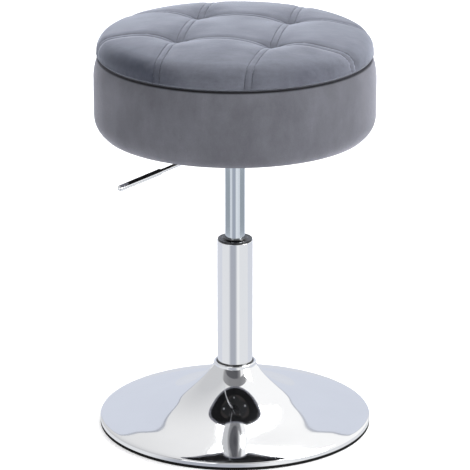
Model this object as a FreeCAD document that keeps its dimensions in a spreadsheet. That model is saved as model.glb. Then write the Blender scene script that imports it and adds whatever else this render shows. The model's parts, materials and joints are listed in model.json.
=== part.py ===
import FreeCAD, Part
import math
import os
import Sketcher

from FreeCAD import Vector

# A low storage stool that swivels and lifts. Millimetres, +Z up, origin on the floor under the column.
# The seat is drawn raised to the top of its stroke.
SIZES = {
    # trumpet base and floor ring
    "base_radius": 192.5,
    "base_sheet": 1.5,
    "rim_height": 10.4,
    "rim_slope": 35.0,
    "rim_edge": 1.0,
    "skirt_slope": 9.0,
    "skirt_foot_share": 0.861,
    "skirt_top_share": 0.566,
    "flank_slope": 29.0,
    "flank_foot_share": 0.332,
    "flank_top_share": 0.233,
    "neck_slope": 58.0,
    "neck_lip": 2.1,
    "ring_foot": 4.0,
    "ring_width": 10.5,
    "ring_lip": 1.4,
    "ring_lip_height": 3.0,
    "plate_sheet": 2.0,
    "plate_hole": 21.5,
    # column, socket, collar and bush
    "column_radius": 25.0,
    "column_wall": 1.8,
    "column_top": 270.0,
    "column_foot": 10.0,
    "column_end": 4.0,
    "column_taper": 1.4,
    "column_edge": 0.7,
    "socket_wall": 3.0,
    "collar_height": 5.0,
    "collar_gap": 1.6,
    "collar_width": 3.3,
    "collar_round": 1.6,
    "seal_lip": 1.0,
    "bush_length": 62.0,
    "bush_wall": 2.4,
    "bush_flange": 2.6,
    "bush_lip": 2.2,
    "bush_lip_width": 2.6,
    # thrust bearing and rod
    "rod_radius": 5.0,
    "spigot_radius": 4.0,
    "race_radius": 14.0,
    "race_thickness": 2.0,
    "ball_radius": 2.4,
    "ball_circle": 10.2,
    "ball_play": 0.12,
    "ball_count": 9,
    "cage_thickness": 2.2,
    "cage_width": 6.6,
    "bump_radius": 11.0,
    "bump_height": 12.0,
    "end_washer_radius": 9.0,
    "end_washer_thickness": 1.4,
    "clip_radius": 7.0,
    "clip_thickness": 1.0,
    "clip_groove": 0.7,
    "rod_tail": 1.0,
    "piston_height": 10.0,
    "piston_rest": 3.0,
    "rivet_height": 2.0,
    "rivet_radius": 6.0,
    # gas cylinder and valve
    "lift_stroke": 100.0,
    "stroke_spare": 3.0,
    "cylinder_radius": 14.0,
    "cylinder_wall": 1.5,
    "cylinder_crimp": 2.0,
    "crimp_radius": 8.0,
    "cylinder_taper": 0.5,
    "gland_height": 20.0,
    "valve_height": 40.0,
    "valve_radius": 4.0,
    "valve_depth": 15.0,
    "valve_stand": 5.6,
    "valve_travel": 4.5,
    "valve_dome": 1.2,
    # hub, plate and lever
    "hub_length": 47.5,
    "hub_radius": 20.0,
    "hub_seat": 24.0,
    "hub_flange": 27.0,
    "hub_flange_height": 4.0,
    "slot_width": 8.4,
    "slot_drop": 1.5,
    "slot_height": 15.0,
    "seat_plate_width": 150.0,
    "seat_plate_sheet": 3.0,
    "seat_plate_corner": 12.0,
    "bolt_pitch": 110.0,
    "bolt_radius": 3.0,
    "bolt_head": 5.0,
    "bolt_head_height": 4.0,
    "bolt_grip": 15.0,
    "washer_radius": 6.0,
    "washer_thickness": 1.2,
    "nut_flange": 9.5,
    "nut_flange_sheet": 1.5,
    "nut_barrel": 4.2,
    "nut_length": 9.0,
    "lever_turn": 217.6,
    "lever_droop": 9.2,
    "lever_radius": 3.0,
    "lever_reach": 200.0,
    "lever_tail": 7.0,
    "lever_pivot": 36.0,
    "eye_radius": 5.2,
    "eye_width": 6.8,
    "grip_length": 72.0,
    "grip_radius": 4.5,
    "grip_cap": 8.0,
    "grip_dome": 3.2,
    "ear_sheet": 2.5,
    "ear_half": 8.5,
    "ear_round": 6.5,
    "pivot_radius": 2.0,
    "pivot_head": 3.4,
    "pivot_head_height": 1.6,
    # storage drum
    "drum_radius": 195.5,
    "drum_bottom": 431.0,
    "drum_height": 107.0,
    "drum_foot_round": 24.7,
    "drum_top_round": 28.0,
    "drum_top_inset": 5.5,
    "drum_tuck": 27.5,
    "cover_sheet": 1.5,
    "padding_sheet": 12.0,
    "wall_sheet": 5.0,
    "board_sheet": 12.0,
    "lining_sheet": 1.0,
    # tufted lid
    "lid_step": 2.7,
    "lid_seam": 0.4,
    "lid_foot": 3.7,
    "lid_height": 42.4,
    "crown_flat": 100.0,
    "crown_slope": 16.7,
    "lid_board_inset": 6.8,
    "lid_board_sheet": 12.0,
    "lid_ring_width": 12.5,
    "lid_ring_depth": 15.0,
    "lid_ring_play": 1.5,
    "lid_tuck_gap": 4.0,
    "screw_radius": 2.0,
    "screw_head": 4.0,
    "screw_bite": 8.0,
    "screw_count": 6,
    "tuft_pitch": 130.0,
    "tuft_turn": -12.0,
    "tuft_depth": 13.5,
    "tuft_reach": 27.0,
    "tuft_root": 2.5,
    "tuft_swell": 34.0,
    "tuft_over": 1.2,
    "channel_depth": 3.0,
    "channel_rise": 8.0,
    "channel_half": 40.0,
    "channel_swell": 150.0,
    "channel_over": 12.0,
    "channel_bow": 1200.0,
    "channel_turn": 20.0,
    "tie_radius": 0.9,
    "toggle_radius": 6.0,
    "toggle_sheet": 2.0,
    # fits
    "running_fit": 0.08,
    "press_fit": 0.05,
    "soft_fit": 0.2,
    "free_fit": 0.3,
    "bolt_play": 0.3,
}


class Size:
    """A number with the spreadsheet expression that gives it."""

    def __init__(self, value, text):
        self.value = value
        self.text = text

    def __add__(self, other):
        return joined(self, "+", other)

    def __radd__(self, other):
        return joined(other, "+", self)

    def __sub__(self, other):
        return joined(self, "-", other)

    def __rsub__(self, other):
        return joined(other, "-", self)

    def __mul__(self, other):
        return joined(self, "*", other)

    def __truediv__(self, other):
        return joined(self, "/", other)

    def __rmul__(self, other):
        return joined(other, "*", self)

    def __neg__(self):
        return joined(0, "-", self)


def as_size(number):
    return number if isinstance(number, Size) else Size(number, repr(number))


def joined(left, sign, right):
    left = as_size(left)
    right = as_size(right)
    results = {
        "+": lambda a, b: a + b,
        "-": lambda a, b: a - b,
        "*": lambda a, b: a * b,
        "/": lambda a, b: a / b,
    }
    return Size(results[sign](left.value, right.value), f"({left.text} {sign} {right.text})")


def sine(angle):
    return Size(math.sin(math.radians(angle.value)), f"sin({angle.text})")


def cosine(angle):
    return Size(math.cos(math.radians(angle.value)), f"cos({angle.text})")


def tangent(angle):
    return sine(angle) / cosine(angle)


def root(number):
    return Size(math.sqrt(number.value), f"sqrt({number.text})")


def square(number):
    return number * number


doc = FreeCAD.newDocument("StorageStool")
sheet = doc.addObject("Spreadsheet::Sheet", "Sizes")
size = {}
for row, (alias, number) in enumerate(SIZES.items(), 1):
    sheet.set(f"A{row}", alias)
    sheet.set(f"B{row}", str(number))
    sheet.setAlias(f"B{row}", alias)
    size[alias] = Size(number, f"Sizes.{alias}")
doc.recompute()

nodes = []


def new_body(label):
    body = doc.addObject("PartDesign::Body", label)
    body.Label = label
    nodes.append(body)
    return body


def origin_feature(body, role):
    return next(feature for feature in body.Origin.OriginFeatures if feature.Role == role)


def bind(item, path, amount):
    item.setExpression(path, as_size(amount).text)


def new_sketch(body, name, plane, offset=(0, 0, 0)):
    """A sketch on one of the body's own planes, moved by offset along the plane's axes."""
    sketch = body.newObject("Sketcher::SketchObject", name)
    sketch.AttachmentSupport = [(origin_feature(body, plane), "")]
    sketch.MapMode = "FlatFace"
    for axis, amount in zip("xyz", offset):
        if as_size(amount).value:
            bind(sketch, f"AttachmentOffset.Base.{axis}", amount)
    return sketch


def arc_middle(start, end, radius):
    """The middle of the arc from start to end. A positive radius bulges to the right of the way along."""
    chord = end - start
    half = chord.Length / 2
    sagitta = abs(radius) - math.sqrt(radius * radius - half * half)
    right = Vector(chord.y, -chord.x, 0).normalize()
    return (start + end) / 2 + right * math.copysign(sagitta, radius)


def draw(sketch, corners, closed=True):
    """Draws lines, or an arc where a corner's third number gives the radius of the arc that leads to it."""
    places = [Vector(as_size(corner[0]).value, as_size(corner[1]).value, 0) for corner in corners]
    count = len(corners) if closed else len(corners) - 1
    ends = []
    radii = []
    for index in range(count):
        following = (index + 1) % len(corners)
        start = places[index]
        end = places[following]
        if len(corners[following]) == 2:
            sketch.addGeometry(Part.LineSegment(start, end))
            ends.append((1, 2))
            continue
        radius = as_size(corners[following][2])
        middle = arc_middle(start, end, radius.value)
        counterclockwise = radius.value > 0
        first, last = (start, end) if counterclockwise else (end, start)
        sketch.addGeometry(Part.Arc(first, middle, last))
        ends.append((1, 2) if counterclockwise else (2, 1))
        radii.append((index, radius if counterclockwise else -radius))
    bonds = []
    for index in range(count if closed else count - 1):
        following = (index + 1) % count
        bonds.append(Sketcher.Constraint("Coincident", index, ends[index][1], following, ends[following][0]))
    texts = {}
    for index, corner in enumerate(corners):
        edge = index if index < count else count - 1
        end = ends[edge][0] if index < count else ends[edge][1]
        for kind, amount, axis in (("DistanceX", corner[0], -2), ("DistanceY", corner[1], -1)):
            amount = as_size(amount)
            if amount.value == 0:
                bonds.append(Sketcher.Constraint("PointOnObject", edge, end, axis))
                continue
            texts[len(bonds)] = amount.text
            bonds.append(Sketcher.Constraint(kind, edge, end, amount.value))
    for edge, radius in radii:
        texts[len(bonds)] = radius.text
        bonds.append(Sketcher.Constraint("Radius", edge, radius.value))
    sketch.addConstraint(bonds)
    for index, text in texts.items():
        sketch.setExpression(f"Constraints[{index}]", text)


def circle(sketch, across, up, radius):
    across = as_size(across)
    up = as_size(up)
    place = Vector(across.value, up.value, 0)
    edge = sketch.addGeometry(Part.Circle(place, Vector(0, 0, 1), radius.value))
    for kind, amount, axis in (("DistanceX", across, -2), ("DistanceY", up, -1)):
        if amount.value == 0:
            sketch.addConstraint(Sketcher.Constraint("PointOnObject", edge, 3, axis))
            continue
        bond = sketch.addConstraint(Sketcher.Constraint(kind, edge, 3, amount.value))
        sketch.setExpression(f"Constraints[{bond}]", amount.text)
    bond = sketch.addConstraint(Sketcher.Constraint("Radius", edge, radius.value))
    sketch.setExpression(f"Constraints[{bond}]", radius.text)


def turn(body, name, corners, kind="PartDesign::Revolution", axis="V_Axis", offset=(0, 0, 0)):
    """Turns a profile, drawn across and up, round an axis of its own sketch."""
    sketch = new_sketch(body, f"{name}_profile", "XZ_Plane", offset)
    draw(sketch, corners)
    feature = body.newObject(kind, name)
    feature.Profile = sketch
    feature.ReferenceAxis = (sketch, [axis])
    feature.Angle = 360
    body.Tip = feature
    return feature


def turned(label, corners):
    body = new_body(label)
    turn(body, f"{label}_turn", corners)
    return body


def pad(body, name, sketch, height, midplane=False):
    feature = body.newObject("PartDesign::Pad", name)
    feature.Profile = sketch
    feature.Midplane = midplane
    bind(feature, "Length", height)
    body.Tip = feature
    return feature


def pocket(body, name, sketch, depth=None, midplane=False):
    """Cuts along the sketch's back, or through everything both ways where no depth is given."""
    feature = body.newObject("PartDesign::Pocket", name)
    feature.Profile = sketch
    if depth is None:
        feature.Type = "ThroughAll"
        feature.Midplane = True
    else:
        feature.Midplane = midplane
        bind(feature, "Length", depth)
    body.Tip = feature
    return feature


def drill(body, name, across, radius, plane="XY_Plane", up=0):
    sketch = new_sketch(body, f"{name}_circle", plane)
    circle(sketch, across, up, radius)
    return pocket(body, name, sketch)


def repeat(body, name, features, count):
    """Repeats features evenly round the body's own Z axis."""
    pattern = body.newObject("PartDesign::PolarPattern", name)
    pattern.Originals = features
    pattern.Axis = (origin_feature(body, "Z_Axis"), [""])
    pattern.Angle = 360
    bind(pattern, "Occurrences", count)
    body.Tip = pattern
    return pattern


def place(body, across=0, deep=0, up=0, yaw=0, pitch=0):
    texts = [as_size(amount).text for amount in (across, deep, up, yaw, pitch)]
    body.setExpression(
        "Placement",
        f"placement(vector({texts[0]}; {texts[1]}; {texts[2]}); rotation({texts[3]}; {texts[4]}; 0))",
    )


def ring(label, inner, outer, bottom, top):
    return turned(label, [(inner, bottom), (outer, bottom), (outer, top), (inner, top)])


def disc(label, radius, bottom, top):
    return turned(label, [(0, bottom), (radius, bottom), (radius, top), (0, top)])


QUARTERS = 4

# Heights and radii that several pieces share.
plate_bottom = size["ring_foot"]
plate_top = plate_bottom + size["plate_sheet"]
socket_radius = size["column_radius"] + size["press_fit"] + size["socket_wall"]
neck_inner = socket_radius + size["press_fit"]
neck_outer = neck_inner + size["neck_lip"]


def along_skirt(share):
    return neck_outer + (size["base_radius"] - neck_outer) * share


def trumpet_corners():
    """Radius, height, slope and arc of each corner of the trumpet, from its neck out to its rim."""
    reaches = [
        (size["base_radius"] - size["rim_edge"], size["rim_slope"]),
        (along_skirt(size["skirt_foot_share"]), size["skirt_slope"]),
        (along_skirt(size["skirt_top_share"]), size["skirt_slope"]),
        (along_skirt(size["flank_foot_share"]), size["flank_slope"]),
        (along_skirt(size["flank_top_share"]), size["flank_slope"]),
        (neck_outer, size["neck_slope"]),
    ]
    up = size["rim_height"]
    corners = []
    for (across, slope), (next_across, next_slope) in zip(reaches, reaches[1:]):
        straight = next_slope is slope
        arc = None if straight else (across - next_across) / (sine(next_slope) - sine(slope))
        corners.insert(0, (across, up, slope, arc))
        if straight:
            up = up + (across - next_across) * tangent(slope)
        else:
            up = up + arc * (cosine(slope) - cosine(next_slope))
    corners.insert(0, (neck_outer, up, size["neck_slope"], None))
    return corners


trumpet = trumpet_corners()
neck_top = trumpet[0][1]
collar_top = neck_top + size["collar_height"]
column_bore = size["column_radius"] - size["column_wall"]
foot_radius = size["column_radius"] - size["column_taper"]
column_floor = size["column_foot"] + size["column_end"]
race_top = column_floor + size["race_thickness"]
ball_height = race_top + size["ball_play"] + size["ball_radius"]
upper_race_bottom = ball_height + size["ball_radius"] + size["ball_play"]
rod_shoulder = upper_race_bottom + size["race_thickness"]
bump_top = rod_shoulder + size["bump_height"]
cylinder_bottom = bump_top + size["stroke_spare"] + size["lift_stroke"]
cylinder_bore = size["cylinder_radius"] - size["cylinder_wall"]
gland_bottom = cylinder_bottom + size["cylinder_crimp"]
gland_top = gland_bottom + size["gland_height"]
piston_bottom = gland_top + size["piston_rest"]
piston_top = piston_bottom + size["piston_height"]
spigot_hole = size["spigot_radius"] + size["free_fit"]
board_bottom = size["drum_bottom"] + size["cover_sheet"]
board_top = board_bottom + size["board_sheet"]
drum_top = size["drum_bottom"] + size["drum_height"]
seat_plate_bottom = board_bottom - size["seat_plate_sheet"]
hub_bottom = seat_plate_bottom - size["hub_length"]
cylinder_top = hub_bottom + size["hub_seat"]
taper_radius = size["cylinder_radius"] - size["cylinder_taper"]
valve_top = cylinder_top + size["valve_stand"]
valve_bottom = cylinder_top - size["valve_depth"]
lever_height = valve_top + size["free_fit"] + size["lever_radius"] / cosine(size["lever_droop"])
pivot_height = lever_height - size["lever_pivot"] * tangent(size["lever_droop"])
wall_outer = size["drum_radius"] - size["cover_sheet"] - size["padding_sheet"]
wall_inner = wall_outer - size["wall_sheet"]
lining_inner = wall_inner - size["press_fit"] - size["lining_sheet"]
wall_top = drum_top - size["cover_sheet"]
drum_tuck_radius = size["drum_radius"] - size["drum_tuck"]
lid_radius = size["drum_radius"] - size["lid_step"]
lid_board_radius = lid_radius - size["lid_board_inset"]
lid_bottom = drum_top + size["lid_seam"]
lid_board_bottom = lid_bottom + size["cover_sheet"] + size["press_fit"]
lid_board_top = lid_board_bottom + size["lid_board_sheet"]
lid_ring_outer = lining_inner - size["lid_ring_play"]
lid_ring_inner = lid_ring_outer - size["lid_ring_width"]
lid_ring_bottom = lid_board_bottom - size["lid_ring_depth"]
crown_top = lid_bottom + size["lid_height"]


def trumpet_line(inset):
    """The trumpet from its neck to its rim, moved inwards by inset: arc, cone, arc, cone, arc and rolled rim."""
    line = []
    for across, up, slope, arc in trumpet:
        bend = (arc + inset,) if arc else ()
        line.append((across - inset * sine(slope), up - inset * cosine(slope), *bend))
    across, up, slope, arc = trumpet[-1]
    roll = (size["base_radius"] - across) / (1 - sine(slope))
    line.append((size["base_radius"] - inset, up - roll * cosine(slope), inset - roll))
    return line


def backwards(line):
    """The same line from its far end, with each arc on the corner that it now leads to."""
    bends = [corner[2:] for corner in line[1:]] + [()]
    corners = [
        (corner[0], corner[1], *(-1 * bend for bend in bends_to))
        for corner, bends_to in zip(line, bends)
    ]
    return corners[::-1]


def make_base():
    rim_inner = size["base_radius"] - size["base_sheet"]
    turned(
        "base_shell",
        [
            *trumpet_line(0),
            (size["base_radius"], plate_bottom),
            (rim_inner, plate_bottom),
            *backwards(trumpet_line(size["base_sheet"])),
            (neck_inner, neck_top),
        ],
    )
    lip_outer = rim_inner - size["free_fit"]
    lip_inner = lip_outer - size["ring_lip"]
    turned(
        "floor_ring",
        [
            (size["base_radius"] - size["ring_width"], 0),
            (size["base_radius"], 0),
            (size["base_radius"], plate_bottom),
            (lip_outer, plate_bottom),
            (lip_outer, plate_bottom + size["ring_lip_height"]),
            (lip_inner, plate_bottom + size["ring_lip_height"]),
            (lip_inner, plate_bottom),
            (size["base_radius"] - size["ring_width"], plate_bottom),
        ],
    )
    ring("base_plate", size["plate_hole"], lip_inner - size["free_fit"], plate_bottom, plate_top)
    socket_foot = foot_radius + size["press_fit"]
    turned(
        "base_socket",
        [
            (socket_foot, plate_top),
            (socket_radius, plate_top),
            (socket_radius, neck_top),
            (size["column_radius"] + size["press_fit"], neck_top),
            (socket_foot, size["column_foot"]),
        ],
    )
    collar_inner = size["column_radius"] + size["collar_gap"]
    collar_outer = collar_inner + size["collar_width"]
    turned(
        "neck_collar",
        [
            (collar_inner, neck_top),
            (collar_outer, neck_top),
            (collar_outer, collar_top - size["collar_round"]),
            (collar_outer - size["collar_round"], collar_top, size["collar_round"]),
            (collar_inner, collar_top),
        ],
    )
    ring(
        "neck_seal",
        size["column_radius"] + size["press_fit"],
        collar_inner - size["press_fit"],
        neck_top,
        collar_top + size["seal_lip"],
    )


def make_column():
    edge = size["column_edge"]
    turned(
        "outer_tube",
        [
            (spigot_hole, size["column_foot"]),
            (foot_radius, size["column_foot"]),
            (size["column_radius"], neck_top),
            (size["column_radius"], size["column_top"] - edge),
            (size["column_radius"] - edge, size["column_top"], edge),
            (column_bore, size["column_top"]),
            (column_bore, neck_top),
            (foot_radius - size["column_wall"], column_floor),
            (spigot_hole, column_floor),
        ],
    )
    bore = size["cylinder_radius"] + size["running_fit"]
    sleeve = bore + size["bush_wall"]
    skin = column_bore - size["press_fit"]
    bush_bottom = size["column_top"] - size["bush_length"]
    flange_top = size["column_top"] + size["bush_flange"]
    lip = bore + size["bush_lip_width"]
    turned(
        "guide_bush",
        [
            (bore, bush_bottom),
            (sleeve, bush_bottom),
            (sleeve, size["column_top"] - size["bush_flange"]),
            (skin - size["bush_wall"], size["column_top"] - size["bush_flange"]),
            (skin - size["bush_wall"], bush_bottom),
            (skin, bush_bottom),
            (skin, size["column_top"]),
            (size["column_radius"] - edge, size["column_top"]),
            (size["column_radius"] - edge, flange_top - edge),
            (size["column_radius"] - edge - edge, flange_top, edge),
            (lip + size["bush_lip"], flange_top),
            (lip, flange_top + size["bush_lip"], -size["bush_lip"]),
            (bore, flange_top + size["bush_lip"]),
        ],
    )
    ring("lower_race", spigot_hole, size["race_radius"], column_floor, race_top)


def make_rod():
    groove_top = size["column_foot"] - size["free_fit"] - size["end_washer_thickness"]
    groove_bottom = groove_top - size["clip_thickness"]
    groove_radius = size["spigot_radius"] - size["clip_groove"]
    turned(
        "piston_rod",
        [
            (0, groove_bottom - size["rod_tail"]),
            (size["spigot_radius"], groove_bottom - size["rod_tail"]),
            (size["spigot_radius"], groove_bottom),
            (groove_radius, groove_bottom),
            (groove_radius, groove_top),
            (size["spigot_radius"], groove_top),
            (size["spigot_radius"], rod_shoulder),
            (size["rod_radius"], rod_shoulder),
            (size["rod_radius"], piston_bottom),
            (size["spigot_radius"], piston_bottom),
            (size["spigot_radius"], piston_top),
            (size["rivet_radius"], piston_top),
            (size["spigot_radius"], piston_top + size["rivet_height"]),
            (0, piston_top + size["rivet_height"]),
        ],
    )
    spigot = size["spigot_radius"] + size["press_fit"]
    ring("piston", spigot, cylinder_bore - size["running_fit"], piston_bottom, piston_top)
    ring("upper_race", spigot, size["race_radius"], upper_race_bottom, rod_shoulder)
    ring(
        "bump_stop",
        size["rod_radius"] + size["press_fit"],
        size["bump_radius"],
        rod_shoulder,
        bump_top,
    )
    ring(
        "end_washer",
        spigot,
        size["end_washer_radius"],
        groove_top,
        groove_top + size["end_washer_thickness"],
    )
    clip = ring(
        "retaining_clip",
        groove_radius + size["press_fit"],
        size["clip_radius"],
        groove_bottom,
        groove_top,
    )
    mouth = new_sketch(clip, "clip_mouth_outline", "XY_Plane")
    half_mouth = groove_radius - size["clip_groove"]
    draw(
        mouth,
        [
            (0, -half_mouth),
            (size["clip_radius"] + size["clip_thickness"], -half_mouth),
            (size["clip_radius"] + size["clip_thickness"], half_mouth),
            (0, half_mouth),
        ],
    )
    pocket(clip, "clip_mouth", mouth)
    make_bearing()


def make_bearing():
    half_cage = size["cage_thickness"] / 2
    half_width = size["cage_width"] / 2
    cage = ring(
        "ball_cage",
        size["ball_circle"] - half_width,
        size["ball_circle"] + half_width,
        ball_height - half_cage,
        ball_height + half_cage,
    )
    hole = drill(cage, "ball_hole", size["ball_circle"], size["ball_radius"] + size["ball_play"])
    repeat(cage, "ball_holes", [hole], size["ball_count"])
    balls = new_body("thrust_balls")
    ball = turn(
        balls,
        "ball",
        [
            (0, -size["ball_radius"]),
            (size["ball_radius"], 0, size["ball_radius"]),
            (0, size["ball_radius"], size["ball_radius"]),
        ],
        offset=(size["ball_circle"], ball_height, 0),
    )
    repeat(balls, "ball_set", [ball], size["ball_count"])


def make_cylinder():
    turned(
        "gas_cylinder",
        [
            (size["crimp_radius"], cylinder_bottom),
            (size["cylinder_radius"] - size["column_edge"], cylinder_bottom),
            (size["cylinder_radius"], cylinder_bottom + size["column_edge"]),
            (size["cylinder_radius"], hub_bottom),
            (taper_radius, cylinder_top),
            (cylinder_bore, cylinder_top),
            (cylinder_bore, gland_bottom),
            (size["crimp_radius"], gland_bottom),
        ],
    )
    ring(
        "rod_gland",
        size["rod_radius"] + size["running_fit"],
        cylinder_bore - size["press_fit"],
        gland_bottom,
        gland_top,
    )
    guide = size["valve_radius"] + size["running_fit"]
    well = valve_bottom - size["valve_travel"] - size["valve_travel"]
    body_radius = cylinder_bore - size["press_fit"]
    turned(
        "valve_body",
        [
            (0, cylinder_top - size["valve_height"]),
            (body_radius, cylinder_top - size["valve_height"]),
            (body_radius, cylinder_top),
            (guide, cylinder_top),
            (guide, well),
            (0, well),
        ],
    )
    dome = size["valve_dome"]
    dome_arc = (square(size["valve_radius"]) + square(dome)) / (dome * 2)
    turned(
        "valve_pin",
        [
            (0, valve_bottom),
            (size["valve_radius"], valve_bottom),
            (size["valve_radius"], valve_top - dome),
            (0, valve_top, dome_arc),
        ],
    )


def make_mechanism():
    bore_foot = size["cylinder_radius"] + size["press_fit"]
    bore_top = taper_radius + size["press_fit"]
    flange_bottom = seat_plate_bottom - size["hub_flange_height"]
    hub = turned(
        "seat_hub",
        [
            (bore_foot, hub_bottom),
            (size["hub_radius"], hub_bottom),
            (size["hub_radius"], flange_bottom),
            (size["hub_flange"], flange_bottom),
            (size["hub_flange"], seat_plate_bottom),
            (bore_top, seat_plate_bottom),
            (bore_top, cylinder_top),
        ],
    )
    half_slot = size["slot_width"] / 2
    slot_bottom = cylinder_top - size["slot_drop"]
    slot = new_sketch(hub, "lever_slot_outline", "YZ_Plane")
    draw(
        slot,
        [
            (-half_slot, slot_bottom),
            (half_slot, slot_bottom),
            (half_slot, slot_bottom + size["slot_height"]),
            (-half_slot, slot_bottom + size["slot_height"]),
        ],
    )
    cut = pocket(hub, "lever_slot", slot, size["hub_flange"] + size["hub_flange"])
    cut.Reversed = True
    place(hub, yaw=size["lever_turn"])
    make_seat_plate()
    make_bracket()
    make_lever()


def make_seat_plate():
    half = size["seat_plate_width"] / 2
    corner = size["seat_plate_corner"]
    flat = half - corner
    bolt_across = size["bolt_pitch"] / 2
    plate = new_body("seat_plate")
    outline = new_sketch(plate, "seat_plate_outline", "XY_Plane", (0, 0, seat_plate_bottom))
    draw(
        outline,
        [
            (-flat, -half, corner),
            (flat, -half),
            (half, -flat, corner),
            (half, flat),
            (flat, half, corner),
            (-flat, half),
            (-half, flat, corner),
            (-half, -flat),
        ],
    )
    pad(plate, "seat_plate_pad", outline, size["seat_plate_sheet"])
    hole = drill(plate, "bolt_hole", bolt_across, size["bolt_radius"] + size["bolt_play"], up=bolt_across)
    repeat(plate, "bolt_holes", [hole], QUARTERS)
    place(plate, yaw=size["lever_turn"])

    washer_bottom = seat_plate_bottom - size["washer_thickness"]
    head_bottom = washer_bottom - size["bolt_head_height"]
    bolts = new_body("plate_bolts")
    hexagon = new_sketch(bolts, "bolt_head_outline", "XY_Plane", (bolt_across, bolt_across, head_bottom))
    draw(hexagon, hexagon_corners(size["bolt_head"]))
    head = pad(bolts, "bolt_head", hexagon, size["bolt_head_height"])
    round_shank = new_sketch(bolts, "bolt_shank_circle", "XY_Plane", (bolt_across, bolt_across, washer_bottom))
    circle(round_shank, 0, 0, size["bolt_radius"])
    shank = pad(bolts, "bolt_shank", round_shank, size["bolt_grip"])
    repeat(bolts, "bolt_set", [head, shank], QUARTERS)
    place(bolts, yaw=size["lever_turn"])

    washer_hole = size["bolt_radius"] + size["bolt_play"]
    quarter_set(
        "plate_washers",
        bolt_across,
        [
            (washer_hole, washer_bottom),
            (size["washer_radius"], washer_bottom),
            (size["washer_radius"], seat_plate_bottom),
            (washer_hole, seat_plate_bottom),
        ],
        size["lever_turn"],
    )
    thread = size["bolt_radius"] + size["press_fit"]
    flange_bottom = board_top - size["nut_flange_sheet"]
    quarter_set(
        "t_nuts",
        bolt_across,
        [
            (thread, flange_bottom - size["nut_length"]),
            (size["nut_barrel"], flange_bottom - size["nut_length"]),
            (size["nut_barrel"], flange_bottom),
            (size["nut_flange"], flange_bottom),
            (size["nut_flange"], board_top),
            (thread, board_top),
        ],
        size["lever_turn"],
    )


def hexagon_corners(half_flats):
    """The corners of a hexagon, counterclockwise, from the half width over its flats."""
    corners = []
    for step in range(6):
        angle = math.radians(60 * step)
        reach = half_flats / math.cos(math.radians(30))
        corners.append((reach * round(math.cos(angle), 12), reach * round(math.sin(angle), 12)))
    return corners


def quarter_set(label, across, corners, yaw):
    """Four turned pieces at the corners of a square, in one node."""
    body = new_body(label)
    piece = turn(body, f"{label}_turn", corners, offset=(across, 0, -across))
    repeat(body, f"{label}_set", [piece], QUARTERS)
    place(body, yaw=yaw)


def make_bracket():
    pivot = size["lever_pivot"]
    gap = size["eye_width"] / 2 + size["free_fit"]
    width = (gap + size["ear_sheet"]) * 2
    bracket = new_body("lever_bracket")
    outline = new_sketch(bracket, "ear_outline", "XZ_Plane")
    draw(
        outline,
        [
            (pivot + size["ear_half"], seat_plate_bottom),
            (pivot - size["ear_half"], seat_plate_bottom),
            (pivot - size["ear_round"], pivot_height),
            (pivot, pivot_height - size["ear_round"], size["ear_round"]),
            (pivot + size["ear_round"], pivot_height, size["ear_round"]),
        ],
    )
    pad(bracket, "ear_block", outline, width, midplane=True)
    channel = new_sketch(bracket, "ear_gap_outline", "YZ_Plane")
    channel_top = seat_plate_bottom - size["ear_sheet"]
    channel_bottom = pivot_height - size["ear_round"] - size["free_fit"]
    draw(
        channel,
        [(-gap, channel_bottom), (gap, channel_bottom), (gap, channel_top), (-gap, channel_top)],
    )
    pocket(bracket, "ear_gap", channel)
    drill(
        bracket,
        "ear_hole",
        pivot,
        size["pivot_radius"] + size["press_fit"],
        plane="XZ_Plane",
        up=pivot_height,
    )
    place(bracket, yaw=size["lever_turn"])

    pin = new_body("lever_pivot_pin")
    shank = new_sketch(pin, "pivot_circle", "XZ_Plane")
    circle(shank, pivot, pivot_height, size["pivot_radius"])
    grip = width / 2 + size["press_fit"]
    pad(pin, "pivot_shank", shank, grip * 2, midplane=True)
    for name, offset in (("near_head", grip), ("far_head", -grip - size["pivot_head_height"])):
        head = new_sketch(pin, f"{name}_circle", "XZ_Plane", (0, 0, offset))
        circle(head, pivot, pivot_height, size["pivot_head"])
        pad(pin, name, head, size["pivot_head_height"])
    place(pin, yaw=size["lever_turn"])


def place_lever(body):
    """Puts a body drawn along X from the pivot in its place, drooping outwards."""
    place(
        body,
        size["lever_pivot"] * cosine(size["lever_turn"]),
        size["lever_pivot"] * sine(size["lever_turn"]),
        pivot_height,
        size["lever_turn"],
        size["lever_droop"],
    )


def make_lever():
    slant = cosine(size["lever_droop"])
    inner_end = -(size["lever_pivot"] + size["lever_tail"]) / slant
    tip = (size["lever_reach"] - size["lever_pivot"]) / slant
    rod_end = tip - size["grip_cap"]
    rod = new_body("lever_rod")
    turn(
        rod,
        "lever_shank",
        [(inner_end, 0), (rod_end, 0), (rod_end, size["lever_radius"]), (inner_end, size["lever_radius"])],
        axis="H_Axis",
    )
    eye = new_sketch(rod, "eye_circle", "XZ_Plane")
    circle(eye, 0, 0, size["eye_radius"])
    pad(rod, "eye_boss", eye, size["eye_width"], midplane=True)
    drill(rod, "eye_hole", 0, size["pivot_radius"] + size["running_fit"], plane="XZ_Plane")
    place_lever(rod)

    grip_start = tip - size["grip_length"]
    bore = size["lever_radius"] + size["press_fit"]
    dome = size["grip_dome"]
    dome_arc = (square(size["grip_radius"]) + square(dome)) / (dome * 2)
    grip = new_body("lever_grip")
    turn(
        grip,
        "grip_turn",
        [
            (grip_start, bore),
            (grip_start, size["grip_radius"]),
            (tip - dome, size["grip_radius"]),
            (tip, 0, -dome_arc),
            (rod_end + size["press_fit"], 0),
            (rod_end + size["press_fit"], bore),
        ],
        axis="H_Axis",
    )
    place_lever(grip)


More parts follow.
